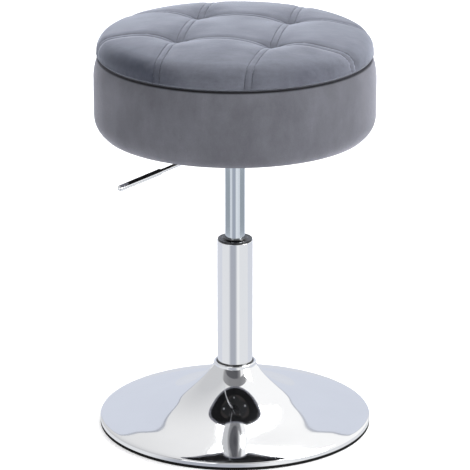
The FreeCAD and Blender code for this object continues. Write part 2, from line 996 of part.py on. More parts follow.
# The drum's lower edge turns in under the hoop, and its upper edge turns in to the lid's seam.
padding_inner = wall_outer + size["press_fit"]
foot_inset = size["drum_radius"] - size["cover_sheet"] - padding_inner
foot_rise = size["drum_foot_round"] - size["cover_sheet"]
foot_arc = (square(foot_inset) + square(foot_rise)) / (foot_inset * 2) + size["cover_sheet"]
foot_centre = size["drum_radius"] - foot_arc
foot_height = size["drum_bottom"] + size["drum_foot_round"]
top_arc = (square(size["drum_top_inset"]) + square(size["drum_top_round"])) / (size["drum_top_inset"] * 2)
top_centre = size["drum_radius"] - top_arc
top_height = drum_top - size["drum_top_round"]


def foot_across(inset, height):
    return foot_centre + root(square(foot_arc - inset) - square(foot_height - height))


def top_across(inset, height):
    return top_centre + root(square(top_arc - inset) - square(height - top_height))


def make_drum():
    cover = size["cover_sheet"]
    side_inner = size["drum_radius"] - cover
    turned(
        "drum_cover",
        [
            (drum_tuck_radius, size["drum_bottom"]),
            (foot_across(0, size["drum_bottom"]), size["drum_bottom"]),
            (size["drum_radius"], foot_height, foot_arc),
            (size["drum_radius"], top_height),
            (top_across(0, drum_top), drum_top, top_arc),
            (wall_inner, drum_top),
            (wall_inner, wall_top),
            (top_across(cover, wall_top), wall_top),
            (side_inner, top_height, cover - top_arc),
            (side_inner, foot_height),
            (foot_across(cover, board_bottom), board_bottom, cover - foot_arc),
            (drum_tuck_radius, board_bottom),
        ],
    )
    inset = cover + size["soft_fit"]
    padding_top = wall_top - size["soft_fit"]
    corner_drop = root(square(foot_arc - inset) - square(padding_inner - foot_centre))
    turned(
        "drum_padding",
        [
            (padding_inner, foot_height - corner_drop),
            (size["drum_radius"] - inset, foot_height, foot_arc - inset),
            (size["drum_radius"] - inset, top_height),
            (top_across(inset, padding_top), padding_top, top_arc - inset),
            (padding_inner, padding_top),
        ],
    )
    ring("drum_wall", wall_inner, wall_outer, board_bottom, wall_top)
    board = disc("drum_board", wall_inner - size["press_fit"], board_bottom, board_top)
    barrel = size["nut_barrel"] + size["press_fit"]
    flange = size["nut_flange"] + size["press_fit"]
    flange_bottom = board_top - size["nut_flange_sheet"]
    bolt_across = size["bolt_pitch"] / 2
    hole = turn(
        board,
        "nut_hole",
        [
            (0, board_bottom - size["free_fit"]),
            (barrel, board_bottom - size["free_fit"]),
            (barrel, flange_bottom),
            (flange, flange_bottom),
            (flange, board_top + size["free_fit"]),
            (0, board_top + size["free_fit"]),
        ],
        "PartDesign::Groove",
        offset=(bolt_across, 0, -bolt_across),
    )
    repeat(board, "nut_holes", [hole], QUARTERS)
    place(board, yaw=size["lever_turn"])
    floor_top = board_top + size["lining_sheet"]
    disc("floor_lining", wall_inner - size["press_fit"], board_top, floor_top)
    ring(
        "drum_lining",
        lining_inner,
        wall_inner - size["press_fit"],
        floor_top,
        drum_top - size["press_fit"],
    )
    corner = size["seat_plate_corner"]
    plate_reach = (size["seat_plate_width"] / 2 - corner) * math.sqrt(2) + corner
    ring(
        "dust_cover",
        plate_reach + size["free_fit"],
        drum_tuck_radius - size["free_fit"],
        board_bottom - size["lining_sheet"],
        board_bottom,
    )


# The lid's side swells at the height of its foot, and two arcs lead up to the flat of its crown.
side_height = lid_bottom + size["lid_foot"]
crown_drop = crown_top - side_height
crown_sine = sine(size["crown_slope"])
crown_cosine = cosine(size["crown_slope"])
crown_share = crown_cosine / (1 - crown_sine)
crown_reach = lid_radius - size["crown_flat"]
crown_arc = (crown_reach * crown_share - crown_drop) / (crown_sine * crown_share - (1 - crown_cosine))
side_arc = (crown_reach - crown_arc * crown_sine) / (1 - crown_sine)
half_pitch = size["tuft_pitch"] / 2


def shoulder(inset):
    """Where the lid's side arc meets its crown arc."""
    reach = side_arc - inset
    return lid_radius - side_arc + reach * crown_sine, side_height + reach * crown_cosine


def add_crown(body, name, inset):
    shoulder_across, shoulder_up = shoulder(inset)
    turn(
        body,
        f"{name}_crown",
        [
            (0, lid_bottom + inset),
            (lid_radius - size["lid_foot"], lid_bottom + inset),
            (lid_radius - inset, side_height, size["lid_foot"] - inset),
            (shoulder_across, shoulder_up, side_arc - inset),
            (size["crown_flat"], crown_top - inset, crown_arc - inset),
            (0, crown_top - inset),
        ],
    )


def add_channel(body, name, inset):
    """A sewn channel at half a pitch from the middle, on a wide arc that leaves the crown at both ends."""
    bow = size["channel_bow"]
    rim = bow + size["channel_rise"]
    over = rim + size["channel_over"]
    half = size["channel_half"]
    swell = size["channel_swell"]
    middle = crown_top - inset - size["channel_depth"] - bow
    sketch = new_sketch(body, f"{name}_channel_section", "YZ_Plane", (half_pitch, middle, 0))
    draw(sketch, [(0, bow, -swell), (half, rim, -swell), (half, over), (-half, over), (-half, rim)])
    groove = body.newObject("PartDesign::Groove", f"{name}_channel")
    groove.Profile = sketch
    groove.ReferenceAxis = (sketch, ["H_Axis"])
    groove.Midplane = True
    bind(groove, "Angle", size["channel_turn"])
    return groove


def tuft_floor(inset):
    return crown_top - inset - size["tuft_depth"]


def add_tuft(body, name, inset):
    """A sewn tuft where two channels cross, with a wall that swells into it."""
    top = crown_top - inset + size["tuft_over"]
    return turn(
        body,
        f"{name}_tuft",
        [
            (0, tuft_floor(inset)),
            (size["tuft_root"] + inset, tuft_floor(inset)),
            (size["tuft_reach"] + inset, top, -size["tuft_swell"]),
            (0, top),
        ],
        "PartDesign::Groove",
        offset=(half_pitch, 0, -half_pitch),
    )


def add_quilt(body, name, inset):
    """The crowned, channelled and tufted form, moved inwards by inset."""
    add_crown(body, name, inset)
    channel = add_channel(body, name, inset)
    tuft = add_tuft(body, name, inset)
    repeat(body, f"{name}_quilt", [channel, tuft], QUARTERS)
    place(body, yaw=size["tuft_turn"])


def make_lid():
    cover = size["cover_sheet"]
    outside = doc.addObject("PartDesign::Body", "lid_outside")
    add_quilt(outside, "outside", 0)
    inside = doc.addObject("PartDesign::Body", "lid_inside")
    add_quilt(inside, "inside", cover)
    tuck = lid_ring_outer + size["lid_tuck_gap"]
    below = lid_bottom - size["lid_seam"]
    turn(
        inside,
        "inside_mouth",
        [(0, below), (tuck, below), (tuck, lid_board_top), (0, lid_board_top)],
    )
    skin = doc.addObject("Part::Cut", "lid_cover")
    skin.Label = "lid_cover"
    skin.Base = outside
    skin.Tool = inside
    nodes.append(skin)

    foam = new_body("lid_foam")
    add_quilt(foam, "foam", cover + size["soft_fit"])
    bed = lid_board_radius + size["soft_fit"]
    bed_top = lid_board_top + size["press_fit"]
    turn(foam, "foam_bed", [(0, below), (bed, below), (bed, bed_top), (0, bed_top)], "PartDesign::Groove")
    tie_hole = size["tie_radius"] + size["soft_fit"]
    hole = drill(foam, "foam_tie_hole", half_pitch, tie_hole, up=half_pitch)
    repeat(foam, "foam_tie_holes", [hole], QUARTERS)

    board = disc("lid_board", lid_board_radius, lid_board_bottom, lid_board_top)
    toggle = size["toggle_radius"] + size["soft_fit"]
    toggle_top = lid_board_bottom + size["toggle_sheet"]
    hole = turn(
        board,
        "tie_hole",
        [
            (0, below),
            (toggle, below),
            (toggle, toggle_top + size["press_fit"]),
            (tie_hole, toggle_top + size["press_fit"]),
            (tie_hole, lid_board_top + size["free_fit"]),
            (0, lid_board_top + size["free_fit"]),
        ],
        "PartDesign::Groove",
        offset=(half_pitch, 0, -half_pitch),
    )
    repeat(board, "tie_holes", [hole], QUARTERS)
    screw_circle = (lid_ring_inner + lid_ring_outer) / 2
    bite_top = lid_board_bottom + size["screw_bite"]
    screw_hole = size["screw_radius"] + size["press_fit"]
    hole = turn(
        board,
        "screw_hole",
        [(0, below), (screw_hole, below), (screw_hole, bite_top), (0, bite_top)],
        "PartDesign::Groove",
        offset=(screw_circle, 0, 0),
    )
    repeat(board, "screw_holes", [hole], size["screw_count"])
    place(board, yaw=size["tuft_turn"])

    quarter_set(
        "tuft_ties",
        half_pitch,
        [
            (0, lid_board_bottom),
            (size["toggle_radius"], lid_board_bottom),
            (size["toggle_radius"], toggle_top),
            (size["tie_radius"], toggle_top),
            (size["tie_radius"], tuft_floor(cover) - size["press_fit"]),
            (0, tuft_floor(cover) - size["press_fit"]),
        ],
        size["tuft_turn"],
    )
    make_lid_ring(screw_circle, bite_top)
    disc(
        "lid_lining",
        lid_ring_inner - size["free_fit"],
        lid_board_bottom - size["lining_sheet"],
        lid_board_bottom,
    )


def make_lid_ring(screw_circle, bite_top):
    hoop = ring("lid_ring", lid_ring_inner, lid_ring_outer, lid_ring_bottom, lid_board_bottom)
    screw = size["screw_radius"]
    head = size["screw_head"]
    fit = size["press_fit"]
    sink = head - screw
    hole = turn(
        hoop,
        "ring_screw_hole",
        [
            (0, lid_ring_bottom - fit),
            (head + fit + fit, lid_ring_bottom - fit),
            (screw + fit, lid_ring_bottom + sink),
            (screw + fit, lid_board_bottom + size["free_fit"]),
            (0, lid_board_bottom + size["free_fit"]),
        ],
        "PartDesign::Groove",
        offset=(screw_circle, 0, 0),
    )
    repeat(hoop, "ring_screw_holes", [hole], size["screw_count"])
    place(hoop, yaw=size["tuft_turn"])
    screws = new_body("lid_ring_screws")
    piece = turn(
        screws,
        "ring_screw",
        [
            (0, lid_ring_bottom),
            (head, lid_ring_bottom),
            (screw, lid_ring_bottom + sink),
            (screw, bite_top - fit),
            (0, bite_top - fit),
        ],
        offset=(screw_circle, 0, 0),
    )
    repeat(screws, "ring_screw_set", [piece], size["screw_count"])
    place(screws, yaw=size["tuft_turn"])


def check_document():
    """Stops where an object failed, a cut took nothing away or a sub-part has no sound solid."""
    failed = [item.Label for item in doc.Objects if {"Invalid", "Error"} & set(item.State)]
    if failed:
        raise RuntimeError(f"failed: {failed}")
    cuts = ("PartDesign::Pocket", "PartDesign::Groove")
    for item in doc.Objects:
        if item.TypeId in cuts and item.Shape.Volume >= item.BaseFeature.Shape.Volume:
            raise RuntimeError(f"{item.Label} cuts nothing")
    for node in nodes:
        if node.Shape.isNull() or not node.Shape.isValid() or not node.Shape.Solids:
            raise RuntimeError(f"{node.Label} has no sound solid")


make_base()
make_column()
make_rod()
make_cylinder()
make_mechanism()
make_drum()
make_lid()
doc.recompute()
check_document()
os.makedirs("parts", exist_ok=True)
for node in nodes:
    node.Shape.exportStep(f"parts/{node.Label}.step")
print(f"{len(nodes)} sub-parts, {sum(len(node.Shape.Solids) for node in nodes)} solids")
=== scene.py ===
import bpy
import json
import math
from mathutils import Matrix, Vector


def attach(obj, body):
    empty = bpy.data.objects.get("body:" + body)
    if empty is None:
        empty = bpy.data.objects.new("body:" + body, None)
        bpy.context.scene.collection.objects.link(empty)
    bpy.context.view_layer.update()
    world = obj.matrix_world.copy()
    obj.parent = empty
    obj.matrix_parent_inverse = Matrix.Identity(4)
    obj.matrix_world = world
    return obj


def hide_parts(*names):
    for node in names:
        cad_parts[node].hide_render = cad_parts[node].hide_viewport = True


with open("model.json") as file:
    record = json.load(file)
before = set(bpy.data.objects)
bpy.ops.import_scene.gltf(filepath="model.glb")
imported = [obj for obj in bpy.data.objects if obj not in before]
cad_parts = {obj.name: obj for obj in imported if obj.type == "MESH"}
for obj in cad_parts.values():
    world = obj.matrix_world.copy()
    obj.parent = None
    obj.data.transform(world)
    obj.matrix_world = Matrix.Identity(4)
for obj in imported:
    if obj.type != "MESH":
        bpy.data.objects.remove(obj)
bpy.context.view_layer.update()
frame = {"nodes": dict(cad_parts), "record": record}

scene = bpy.context.scene
scene.view_settings.view_transform = "Standard"
mm = 0.001
near = {"spun": 4e-6, "cad": 2e-6, "seam": 2e-5, "crease": 1e-6}   # points joined, or on a sewn line, in metres
hardSurface = {"slots": ("chrome", "steel", "black_steel", "black_plastic"), "faceWeight": 90}
print("stool: frame loaded,", len(frame["nodes"]), "nodes")


def clamp(value):
    return min(1, max(0, value))


def grey(tone, blue=0.0):
    return (tone, tone, tone + blue)


def toned(colour, factor):
    return tuple(channel * factor for channel in colour)


def toObject():
    bpy.ops.object.mode_set(mode="OBJECT")


def applyPlace():
    bpy.ops.object.transform_apply(location=True, rotation=True, scale=True)


def smoothBelow(degrees):
    bpy.ops.object.shade_smooth_by_angle(angle=math.radians(degrees))


def applyModifier(piece, kind, **settings):
    change = piece.modifiers.new(kind.lower(), kind)
    for name, value in settings.items():
        setattr(change, name, value)
    bpy.ops.object.modifier_apply(modifier=change.name)


def setSockets(node, values):
    for name, value in values.items():
        node.inputs[name].default_value = value


def pick(sizes, *names):
    return [sizes[name] for name in names]


def clearSelection():
    if bpy.context.object and bpy.context.object.mode != "OBJECT":
        toObject()
    bpy.ops.object.select_all(action="DESELECT")


def selectOnly(piece):
    clearSelection()
    piece.select_set(True)
    bpy.context.view_layer.objects.active = piece


def selectAll():
    bpy.ops.mesh.select_all(action="SELECT")


def editAll():
    bpy.ops.object.mode_set(mode="EDIT")
    selectAll()


def curveTo(line, target, radius, steps):
    # an arc from the line's last point; a positive radius bulges to the right of travel
    start, end = Vector(line[-1]), Vector(target)
    chord = end - start
    half = chord.length / 2
    rise = math.sqrt(max(radius * radius - half * half, 0))
    left = Vector((-chord.y, chord.x)).normalized() * (1 if radius > 0 else -1)
    centre = (start + end) / 2 + left * rise
    first = math.atan2(start.y - centre.y, start.x - centre.x)
    sweep = math.atan2(end.y - centre.y, end.x - centre.x) - first
    sweep = (sweep + math.pi) % (2 * math.pi) - math.pi
    for step in range(1, steps):
        angle = first + sweep * step / steps
        line.append((centre.x + abs(radius) * math.cos(angle), centre.y + abs(radius) * math.sin(angle)))
    line.append(tuple(target))


def lathePiece(name, outline, steps, smoothAngle=35):
    # one vertex is drawn out along the outline (radius, height in mm), then spun about the column
    clearSelection()
    bpy.ops.mesh.primitive_plane_add(size=mm, location=(outline[0][0] * mm, 0, outline[0][1] * mm))
    piece = bpy.context.object
    piece.name = piece.data.name = name
    applyPlace()
    editAll()
    bpy.ops.mesh.merge(type="CENTER")
    for here, there in zip(outline, outline[1:]):
        move = ((there[0] - here[0]) * mm, 0, (there[1] - here[1]) * mm)
        bpy.ops.mesh.extrude_region_move(TRANSFORM_OT_translate={"value": move})
    selectAll()
    bpy.ops.mesh.spin(steps=steps, angle=2 * math.pi, center=(0, 0, 0), axis=(0, 0, 1))
    selectAll()
    bpy.ops.mesh.remove_doubles(threshold=near["spun"])
    bpy.ops.mesh.normals_make_consistent(inside=False)
    toObject()
    smoothBelow(smoothAngle)
    return piece


def smoothCopy(name, node, smoothAngle=32):
    # a CAD node's own shape with its loose triangles joined, so that round bright metal shows no facets
    piece = frame["nodes"][node].copy()
    piece.data = frame["nodes"][node].data.copy()
    piece.name = piece.data.name = name
    for key in list(piece.keys()):   # the node's own marks stay with the node
        del piece[key]
    piece.parent = None
    scene.collection.objects.link(piece)
    selectOnly(piece)
    editAll()
    bpy.ops.mesh.remove_doubles(threshold=near["cad"])
    toObject()
    smoothBelow(smoothAngle)
    return piece


def finishPiece(piece, body, slot, finish, *nodes):
    piece.data.materials.clear()
    piece.data.materials.append(finishes[finish])
    if slot in hardSurface["slots"]:   # large faces keep their own shading up to a rounded edge
        selectOnly(piece)
        applyModifier(piece, "WEIGHTED_NORMAL", keep_sharp=True, weight=hardSurface["faceWeight"])
    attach(piece, body)
    if nodes:
        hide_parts(*nodes)


# small wrappers that keep each material short
def newFinish(name):
    material = bpy.data.materials.new(name)
    material.use_nodes = True
    nodes = material.node_tree.nodes
    shader = nodes["Principled BSDF"]
    place = nodes.new("ShaderNodeTexCoord").outputs["Object"]
    return material, material.node_tree, shader, place


def noiseAt(tree, place, scale, detail, rough=0.5, stretch=(1, 1, 1), offset=(0, 0, 0)):
    mapping = tree.nodes.new("ShaderNodeMapping")
    setSockets(mapping, {"Scale": stretch, "Location": offset})
    noise = tree.nodes.new("ShaderNodeTexNoise")
    setSockets(noise, {"Scale": scale, "Detail": detail, "Roughness": rough})
    tree.links.new(place, mapping.inputs["Vector"])
    tree.links.new(mapping.outputs["Vector"], noise.inputs["Vector"])
    return noise.outputs["Fac"]


def rampOf(tree, factor, low, high, lowColour, highColour):
    ramp = tree.nodes.new("ShaderNodeValToRGB")
    for element, position, colour in zip(ramp.color_ramp.elements, (low, high), (lowColour, highColour)):
        element.position = position
        element.color = (*colour, 1)
    tree.links.new(factor, ramp.inputs["Fac"])
    return ramp.outputs["Color"]


def rangeOf(tree, factor, low, high, toLow, toHigh):
    spread = tree.nodes.new("ShaderNodeMapRange")
    setSockets(spread, {"From Min": low, "From Max": high, "To Min": toLow, "To Max": toHigh})
    tree.links.new(factor, spread.inputs["Value"])
    return spread.outputs["Result"]


def mixOf(tree, kind, first, second, amount=1.0):
    mix = tree.nodes.new("ShaderNodeMix")
    mix.data_type = "RGBA"
    mix.blend_type = kind
    mix.inputs["Factor"].default_value = amount
    tree.links.new(first, mix.inputs["A"])
    tree.links.new(second, mix.inputs["B"])
    return mix.outputs["Result"]


def bumpFrom(tree, shader, height, depth, strength=1.0, below=None):
    bump = tree.nodes.new("ShaderNodeBump")
    setSockets(bump, {"Distance": depth, "Strength": strength})
    tree.links.new(height, bump.inputs["Height"])
    if below is not None:
        tree.links.new(below, bump.inputs["Normal"])
    tree.links.new(bump.outputs["Normal"], shader.inputs["Normal"])
    return bump.outputs["Normal"]


def heightOf(tree, place):
    axes = tree.nodes.new("ShaderNodeSeparateXYZ")
    tree.links.new(place, axes.inputs[0])
    return axes.outputs["Z"]


# noises are scale, detail and roughness, spans are the part of a noise that a ramp uses, bumps are depth and strength
velvetPile = {
    "nap": (7.0, 5.0, 0.62), "napSpan": (0.32, 0.72),
    "strokes": (22.0, 4.0, 0.6), "strokeStretch": (1.0, 1.0, 0.35), "strokeSpan": (0.30, 0.75),
    "strokeTones": ((0.82, 0.82, 0.83), (1.10, 1.10, 1.10)),
    "fibre": (900.0, 3.0, 0.7), "fibreSpan": (0.25, 0.8), "fibreTones": (0.88, 1.12),
    "brush": (55.0, 6.0, 0.75), "brushSpan": (0.28, 0.74),
    "seamShadeTone": 0.03, "seamShadeSpan": (0.06, 0.42), "patchSpan": (0.08, 0.55), "patchRagged": 0.14,
    "rough": 0.9, "gloss": 0.15, "sheenRough": 0.42, "strokeBump": (0.0012, 0.35), "fibreBump": (0.0004, 0.5),
}
# in both velvets, seam is the span of heights in metres over which the cloth is painted darker, as painted shade in the
# gap between lid and drum
drumVelvet = {
    "deep": (0.138, 0.140, 0.160), "worn": (0.202, 0.206, 0.236), "sheen": 0.8, "sheenTint": (0.84, 0.85, 0.97),
    "brush": (1.2, 1.2, 0.7), "brushTone": (0.92, 1.07), "seam": (0.53798, 0.5345), "offset": (0.31, 0.12, 0.4),
    "napShadePatches": (),
}
lidVelvet = {   # a patch of painted nap shade is its centre, its reach and its tone
    "deep": (0.122, 0.130, 0.160), "worn": (0.215, 0.226, 0.270), "sheen": 0.85, "sheenTint": (0.80, 0.85, 1.0),
    "brush": (0.45, 1.5, 1.2), "brushTone": (0.80, 1.16), "seam": (0.53842, 0.5398), "offset": (0.55, 0.83, 0.2),
    "napShadePatches": (
        ((-0.150, -0.105, 0.547), (0.125, 0.130, 0.037), (0.42, 0.44, 0.49)),
        ((0.10, -0.15, 0.548), (0.09, 0.05, 0.03), (0.80, 0.80, 0.82)),
    ),
}


def makeVelvet(name, look):
    # a soft nap, brushed streaks and pile; the cloth is painted darker where it turns into the lid's seam, as painted
    # shade in that gap
    material, tree, shader, place = newFinish(name)
    pile, offset = velvetPile, look["offset"]
    nap = noiseAt(tree, place, *pile["nap"], offset=offset)
    strokes = noiseAt(tree, place, *pile["strokes"], pile["strokeStretch"], offset)
    fibre = noiseAt(tree, place, *pile["fibre"])
    brush = noiseAt(tree, place, *pile["brush"], look["brush"], offset)
    # this ramp paints shade: white at both ends and the seam shade tone between, over the seam heights
    turned = tree.nodes.new("ShaderNodeValToRGB")
    for position in pile["seamShadeSpan"]:
        turned.color_ramp.elements.new(position).color = (*grey(pile["seamShadeTone"]), 1)
    turned.color_ramp.elements[0].color = turned.color_ramp.elements[3].color = (1, 1, 1, 1)
    tree.links.new(rangeOf(tree, heightOf(tree, place), *look["seam"], 0, 1), turned.inputs["Fac"])
    layers = [
        rampOf(tree, strokes, *pile["strokeSpan"], *pile["strokeTones"]),
        rampOf(tree, fibre, *pile["fibreSpan"], *map(grey, pile["fibreTones"])),
        rampOf(tree, brush, *pile["brushSpan"], *map(grey, look["brushTone"])),
        turned.outputs["Color"],
    ]
    for centre, reach, dark in look["napShadePatches"]:   # patches where the pile leans away, painted darker as the shade that the nap shows there
        mapping = tree.nodes.new("ShaderNodeMapping")
        mapping.vector_type = "TEXTURE"
        setSockets(mapping, {"Location": centre, "Scale": reach})
        ball = tree.nodes.new("ShaderNodeTexGradient")
        ball.gradient_type = "SPHERICAL"
        tree.links.new(place, mapping.inputs["Vector"])
        tree.links.new(mapping.outputs["Vector"], ball.inputs["Vector"])
        ragged = tree.nodes.new("ShaderNodeMath")
        tree.links.new(ball.outputs["Fac"], ragged.inputs[0])
        uneven = rangeOf(tree, strokes, 0.3, 0.7, -pile["patchRagged"], pile["patchRagged"])
        tree.links.new(uneven, ragged.inputs[1])
        layers.append(rampOf(tree, ragged.outputs[0], *pile["patchSpan"], (1, 1, 1), dark))
    colour = rampOf(tree, nap, *pile["napSpan"], look["deep"], look["worn"])
    for layer in layers:
        colour = mixOf(tree, "MULTIPLY", colour, layer)
    tree.links.new(colour, shader.inputs["Base Color"])
    setSockets(shader, {
        "Roughness": pile["rough"], "Specular IOR Level": pile["gloss"], "Sheen Weight": look["sheen"],
        "Sheen Roughness": pile["sheenRough"], "Sheen Tint": (*look["sheenTint"], 1),
    })
    soft = bumpFrom(tree, shader, strokes, *pile["strokeBump"])
    bumpFrom(tree, shader, fibre, *pile["fibreBump"], soft)
    return material


plating = {
    "smears": (14.0, 4.0, 0.55), "smearStretch": (1, 1, 0.4), "smearTone": 0.97, "smearRough": 0.025,
    "ripple": (9.0, 1.0), "rippleBump": (0.0002, 0.06),
}


def makeChrome(name, colour, rough):
    material, tree, shader, place = newFinish(name)
    smears = noiseAt(tree, place, *plating["smears"], plating["smearStretch"])
    tint = rampOf(tree, smears, 0.3, 0.75, toned(colour, plating["smearTone"]), colour)
    dull = rangeOf(tree, smears, 0.35, 0.75, rough, rough + plating["smearRough"])
    tree.links.new(tint, shader.inputs["Base Color"])
    tree.links.new(dull, shader.inputs["Roughness"])
    shader.inputs["Metallic"].default_value = 1.0
    ripple = noiseAt(tree, place, *plating["ripple"])
    bumpFrom(tree, shader, ripple, *plating["rippleBump"])
    return material


coating = {"grain": (3.0, 0.6), "wear": (18.0, 5.0, 0.65), "smoothest": 0.85, "roughest": 1.25, "bump": 0.5}


def makePaint(name, colour, rough, grain, depth, metallic=0.0, spread=0.25, gloss=0.5):
    # moulded, painted or plated surfaces: a fine grain in the colour, the gloss and the bump
    material, tree, shader, place = newFinish(name)
    fine = noiseAt(tree, place, grain, *coating["grain"])
    wear = noiseAt(tree, place, *coating["wear"])
    tint = rampOf(tree, wear, 0.25, 0.8, toned(colour, 1 - spread), toned(colour, 1 + spread))
    dull = rangeOf(tree, wear, 0.3, 0.75, rough * coating["smoothest"], min(rough * coating["roughest"], 1))
    tree.links.new(tint, shader.inputs["Base Color"])
    tree.links.new(dull, shader.inputs["Roughness"])
    setSockets(shader, {"Metallic": metallic, "Specular IOR Level": gloss})
    bumpFrom(tree, shader, fine, depth, coating["bump"])
    return material


felt = {
    "fibres": (260.0, 4.0, 0.7), "press": 420.0, "darkest": 0.7, "palest": 1.5, "rough": 0.92, "gloss": 0.05,
    "sheen": 0.03, "pressBump": (0.0006, 0.6), "fibreBump": (0.0003, 0.5),
}


def makeLining(name, colour):
    # a pressed cloth: fibres in the colour, and the cells of the press in the bump
    material, tree, shader, place = newFinish(name)
    fibres = noiseAt(tree, place, *felt["fibres"])
    press = tree.nodes.new("ShaderNodeTexVoronoi")
    press.inputs["Scale"].default_value = felt["press"]
    tree.links.new(place, press.inputs["Vector"])
    tint = rampOf(tree, fibres, 0.3, 0.75, toned(colour, felt["darkest"]), toned(colour, felt["palest"]))
    tree.links.new(tint, shader.inputs["Base Color"])
    setSockets(shader, {"Roughness": felt["rough"], "Specular IOR Level": felt["gloss"], "Sheen Weight": felt["sheen"]})
    low = bumpFrom(tree, shader, press.outputs["Distance"], *felt["pressBump"])
    bumpFrom(tree, shader, fibres, *felt["fibreBump"], low)
    return material


birch = {
    "grain": (38.0, 6.0, 0.6), "grainStretch": (0.25, 2.2, 1), "plies": 210.0, "wander": 0.6,
    "dark": (0.42, 0.28, 0.15), "pale": (0.70, 0.53, 0.34), "plyTone": (0.72, 0.68, 0.64), "plyShare": 0.6,
    "stain": (0.03, 0.03, 0.04), "stainFade": 0.0006, "rough": 0.7, "bump": (0.0006, 0.4),
}


def makePlywood(name, stainedBelow=0.0):
    # a board can be stained black below a height, as the drum's floor is on its underside
    material, tree, shader, place = newFinish(name)
    grain = noiseAt(tree, place, *birch["grain"], birch["grainStretch"])
    plies = tree.nodes.new("ShaderNodeTexWave")
    plies.bands_direction = "Z"
    setSockets(plies, {"Scale": birch["plies"], "Distortion": birch["wander"]})
    tree.links.new(place, plies.inputs["Vector"])
    wood = rampOf(tree, grain, 0.28, 0.75, birch["dark"], birch["pale"])
    layers = rampOf(tree, plies.outputs["Fac"], 0.2, 0.8, birch["plyTone"], (1, 1, 1))
    wood = mixOf(tree, "MULTIPLY", wood, layers, birch["plyShare"])
    if stainedBelow:
        height = rangeOf(tree, heightOf(tree, place), stainedBelow, stainedBelow + birch["stainFade"], 0, 1)
        wood = mixOf(tree, "MULTIPLY", wood, rampOf(tree, height, 0.3, 0.7, birch["stain"], (1, 1, 1)))
    tree.links.new(wood, shader.inputs["Base Color"])
    shader.inputs["Roughness"].default_value = birch["rough"]
    bumpFrom(tree, shader, grain, *birch["bump"])
    return material


finishes = {
    "chrome": makeChrome("chromePlate", (0.95, 0.955, 0.965), 0.04),
    "steel": makePaint("zincSteel", (0.50, 0.51, 0.53), 0.38, 420.0, 0.0002, 1.0, 0.12),
    "black_steel": makePaint("blackEnamel", (0.008, 0.008, 0.009), 0.42, 700.0, 0.0004, gloss=0.25),
    "black_plastic": makePaint("blackPlastic", (0.005, 0.005, 0.006), 0.09, 500.0, 0.0001, gloss=0.9),
    "rubber": makePaint("blackRubber", (0.007, 0.007, 0.007), 0.8, 600.0, 0.0004, gloss=0.2),
    "cylinder": makeChrome("groundChrome", (0.80, 0.85, 0.90), 0.08),
    "velvet": makeVelvet("greyVelvetDrum", drumVelvet),
    "lidVelvet": makeVelvet("greyVelvetLid", lidVelvet),
    "lining": makeLining("blackLining", (0.008, 0.008, 0.009)),
    "liner": makeLining("storageLining", (0.034, 0.034, 0.037)),
    "foam": makePaint("creamFoam", (0.75, 0.70, 0.50), 0.95, 340.0, 0.0012),
    "plywood": makePlywood("birchPlywood"),
    "twine": makePaint("waxedTwine", (0.58, 0.55, 0.48), 0.8, 900.0, 0.0006),
    "thread": makePaint("greyThread", (0.125, 0.128, 0.145), 0.65, 1500.0, 0.0002),
}
boardStain = 0.4331   # the drum's floor is black below this height, in metres
for subpart in frame["record"]["subparts"]:
    node = frame["nodes"][subpart["node"]]
    node.data.materials.clear()
    node.data.materials.append(finishes[subpart["material_slot"]])
frame["nodes"]["drum_board"].data.materials[0] = makePlywood("stainedPlywood", boardStain)
print("stool: finishes made,", len(finishes))


# chrome trumpet base; slopes are the radius in mm and the angle in degrees, from the rim in
base = {
    "radius": 192.5, "sheet": 1.5, "rimHeight": 10.4, "foot": 4.0, "footEdge": 0.4, "neckTop": 84.56, "neckBore": 28.1,
    "slopes": ((191.5, 33.0), (190.0, 25.0), (187.0, 18.0), (181.0, 15.4), (174.0, 14.4), (168.0, 13.8), (160.0, 12.2),
               (150.0, 10.9), (135.0, 11.3), (122.0, 13.2), (109.0, 16.0), (98.0, 19.6), (88.0, 23.8), (79.0, 27.6),
               (70.0, 31.0), (60.0, 35.0), (50.0, 41.0), (40.0, 49.0), (30.2, 58.0)),
    "fine": 5, "rollSteps": 6, "steps": 256, "smooth": 50,
}


def trumpetSide():
    # the slope is eased from knot to knot and summed up from the rim to the neck
    knots, foot = base["slopes"], base["rimHeight"]
    leans = []
    for index in range(len(knots)):
        first, last = knots[max(index - 1, 0)], knots[min(index + 1, len(knots) - 1)]
        leans.append((last[1] - first[1]) / (last[0] - first[0]))
    up, before = foot, knots[0][1]
    side = [(knots[0][0], up, before)]
    for here, there, lean, nextLean in zip(knots, knots[1:], leans, leans[1:]):
        span = there[0] - here[0]
        for step in range(1, base["fine"] + 1):
            t = step / base["fine"]
            slope = (2 * t ** 3 - 3 * t * t + 1) * here[1] + (3 * t * t - 2 * t ** 3) * there[1]
            slope += span * ((t ** 3 - 2 * t * t + t) * lean + (t ** 3 - t * t) * nextLean)
            up -= math.tan(math.radians((slope + before) / 2)) * span / base["fine"]
            before = slope
            side.append((here[0] + span * t, up, slope))
    tall = (base["neckTop"] - foot) / (up - foot)
    return [(across, foot + (height - foot) * tall, math.atan(math.tan(math.radians(slope)) * tall))
            for across, height, slope in side[::-1]]


def trumpetLine(inset):
    side = trumpetSide()
    line = [(across - inset * math.sin(slope), up - inset * math.cos(slope)) for across, up, slope in side]
    across, up, slope = side[-1]
    roll = (base["radius"] - across) / (1 - math.sin(slope))
    curveTo(line, (base["radius"] - inset, up - roll * math.cos(slope)), inset - roll, base["rollSteps"])
    return line


outside = trumpetLine(0)
inside = trumpetLine(base["sheet"])
neckTop = outside[0][1]
outer, foot, edge = pick(base, "radius", "foot", "footEdge")
outline = outside + [(outer, foot + edge), (outer - edge, foot), (outer - base["sheet"], foot)] + inside[::-1]
outline += [(base["neckBore"], neckTop), outside[0]]
baseShell = lathePiece("baseShell", outline, base["steps"], base["smooth"])
finishPiece(baseShell, "base", "chrome", "chrome", "base_shell")

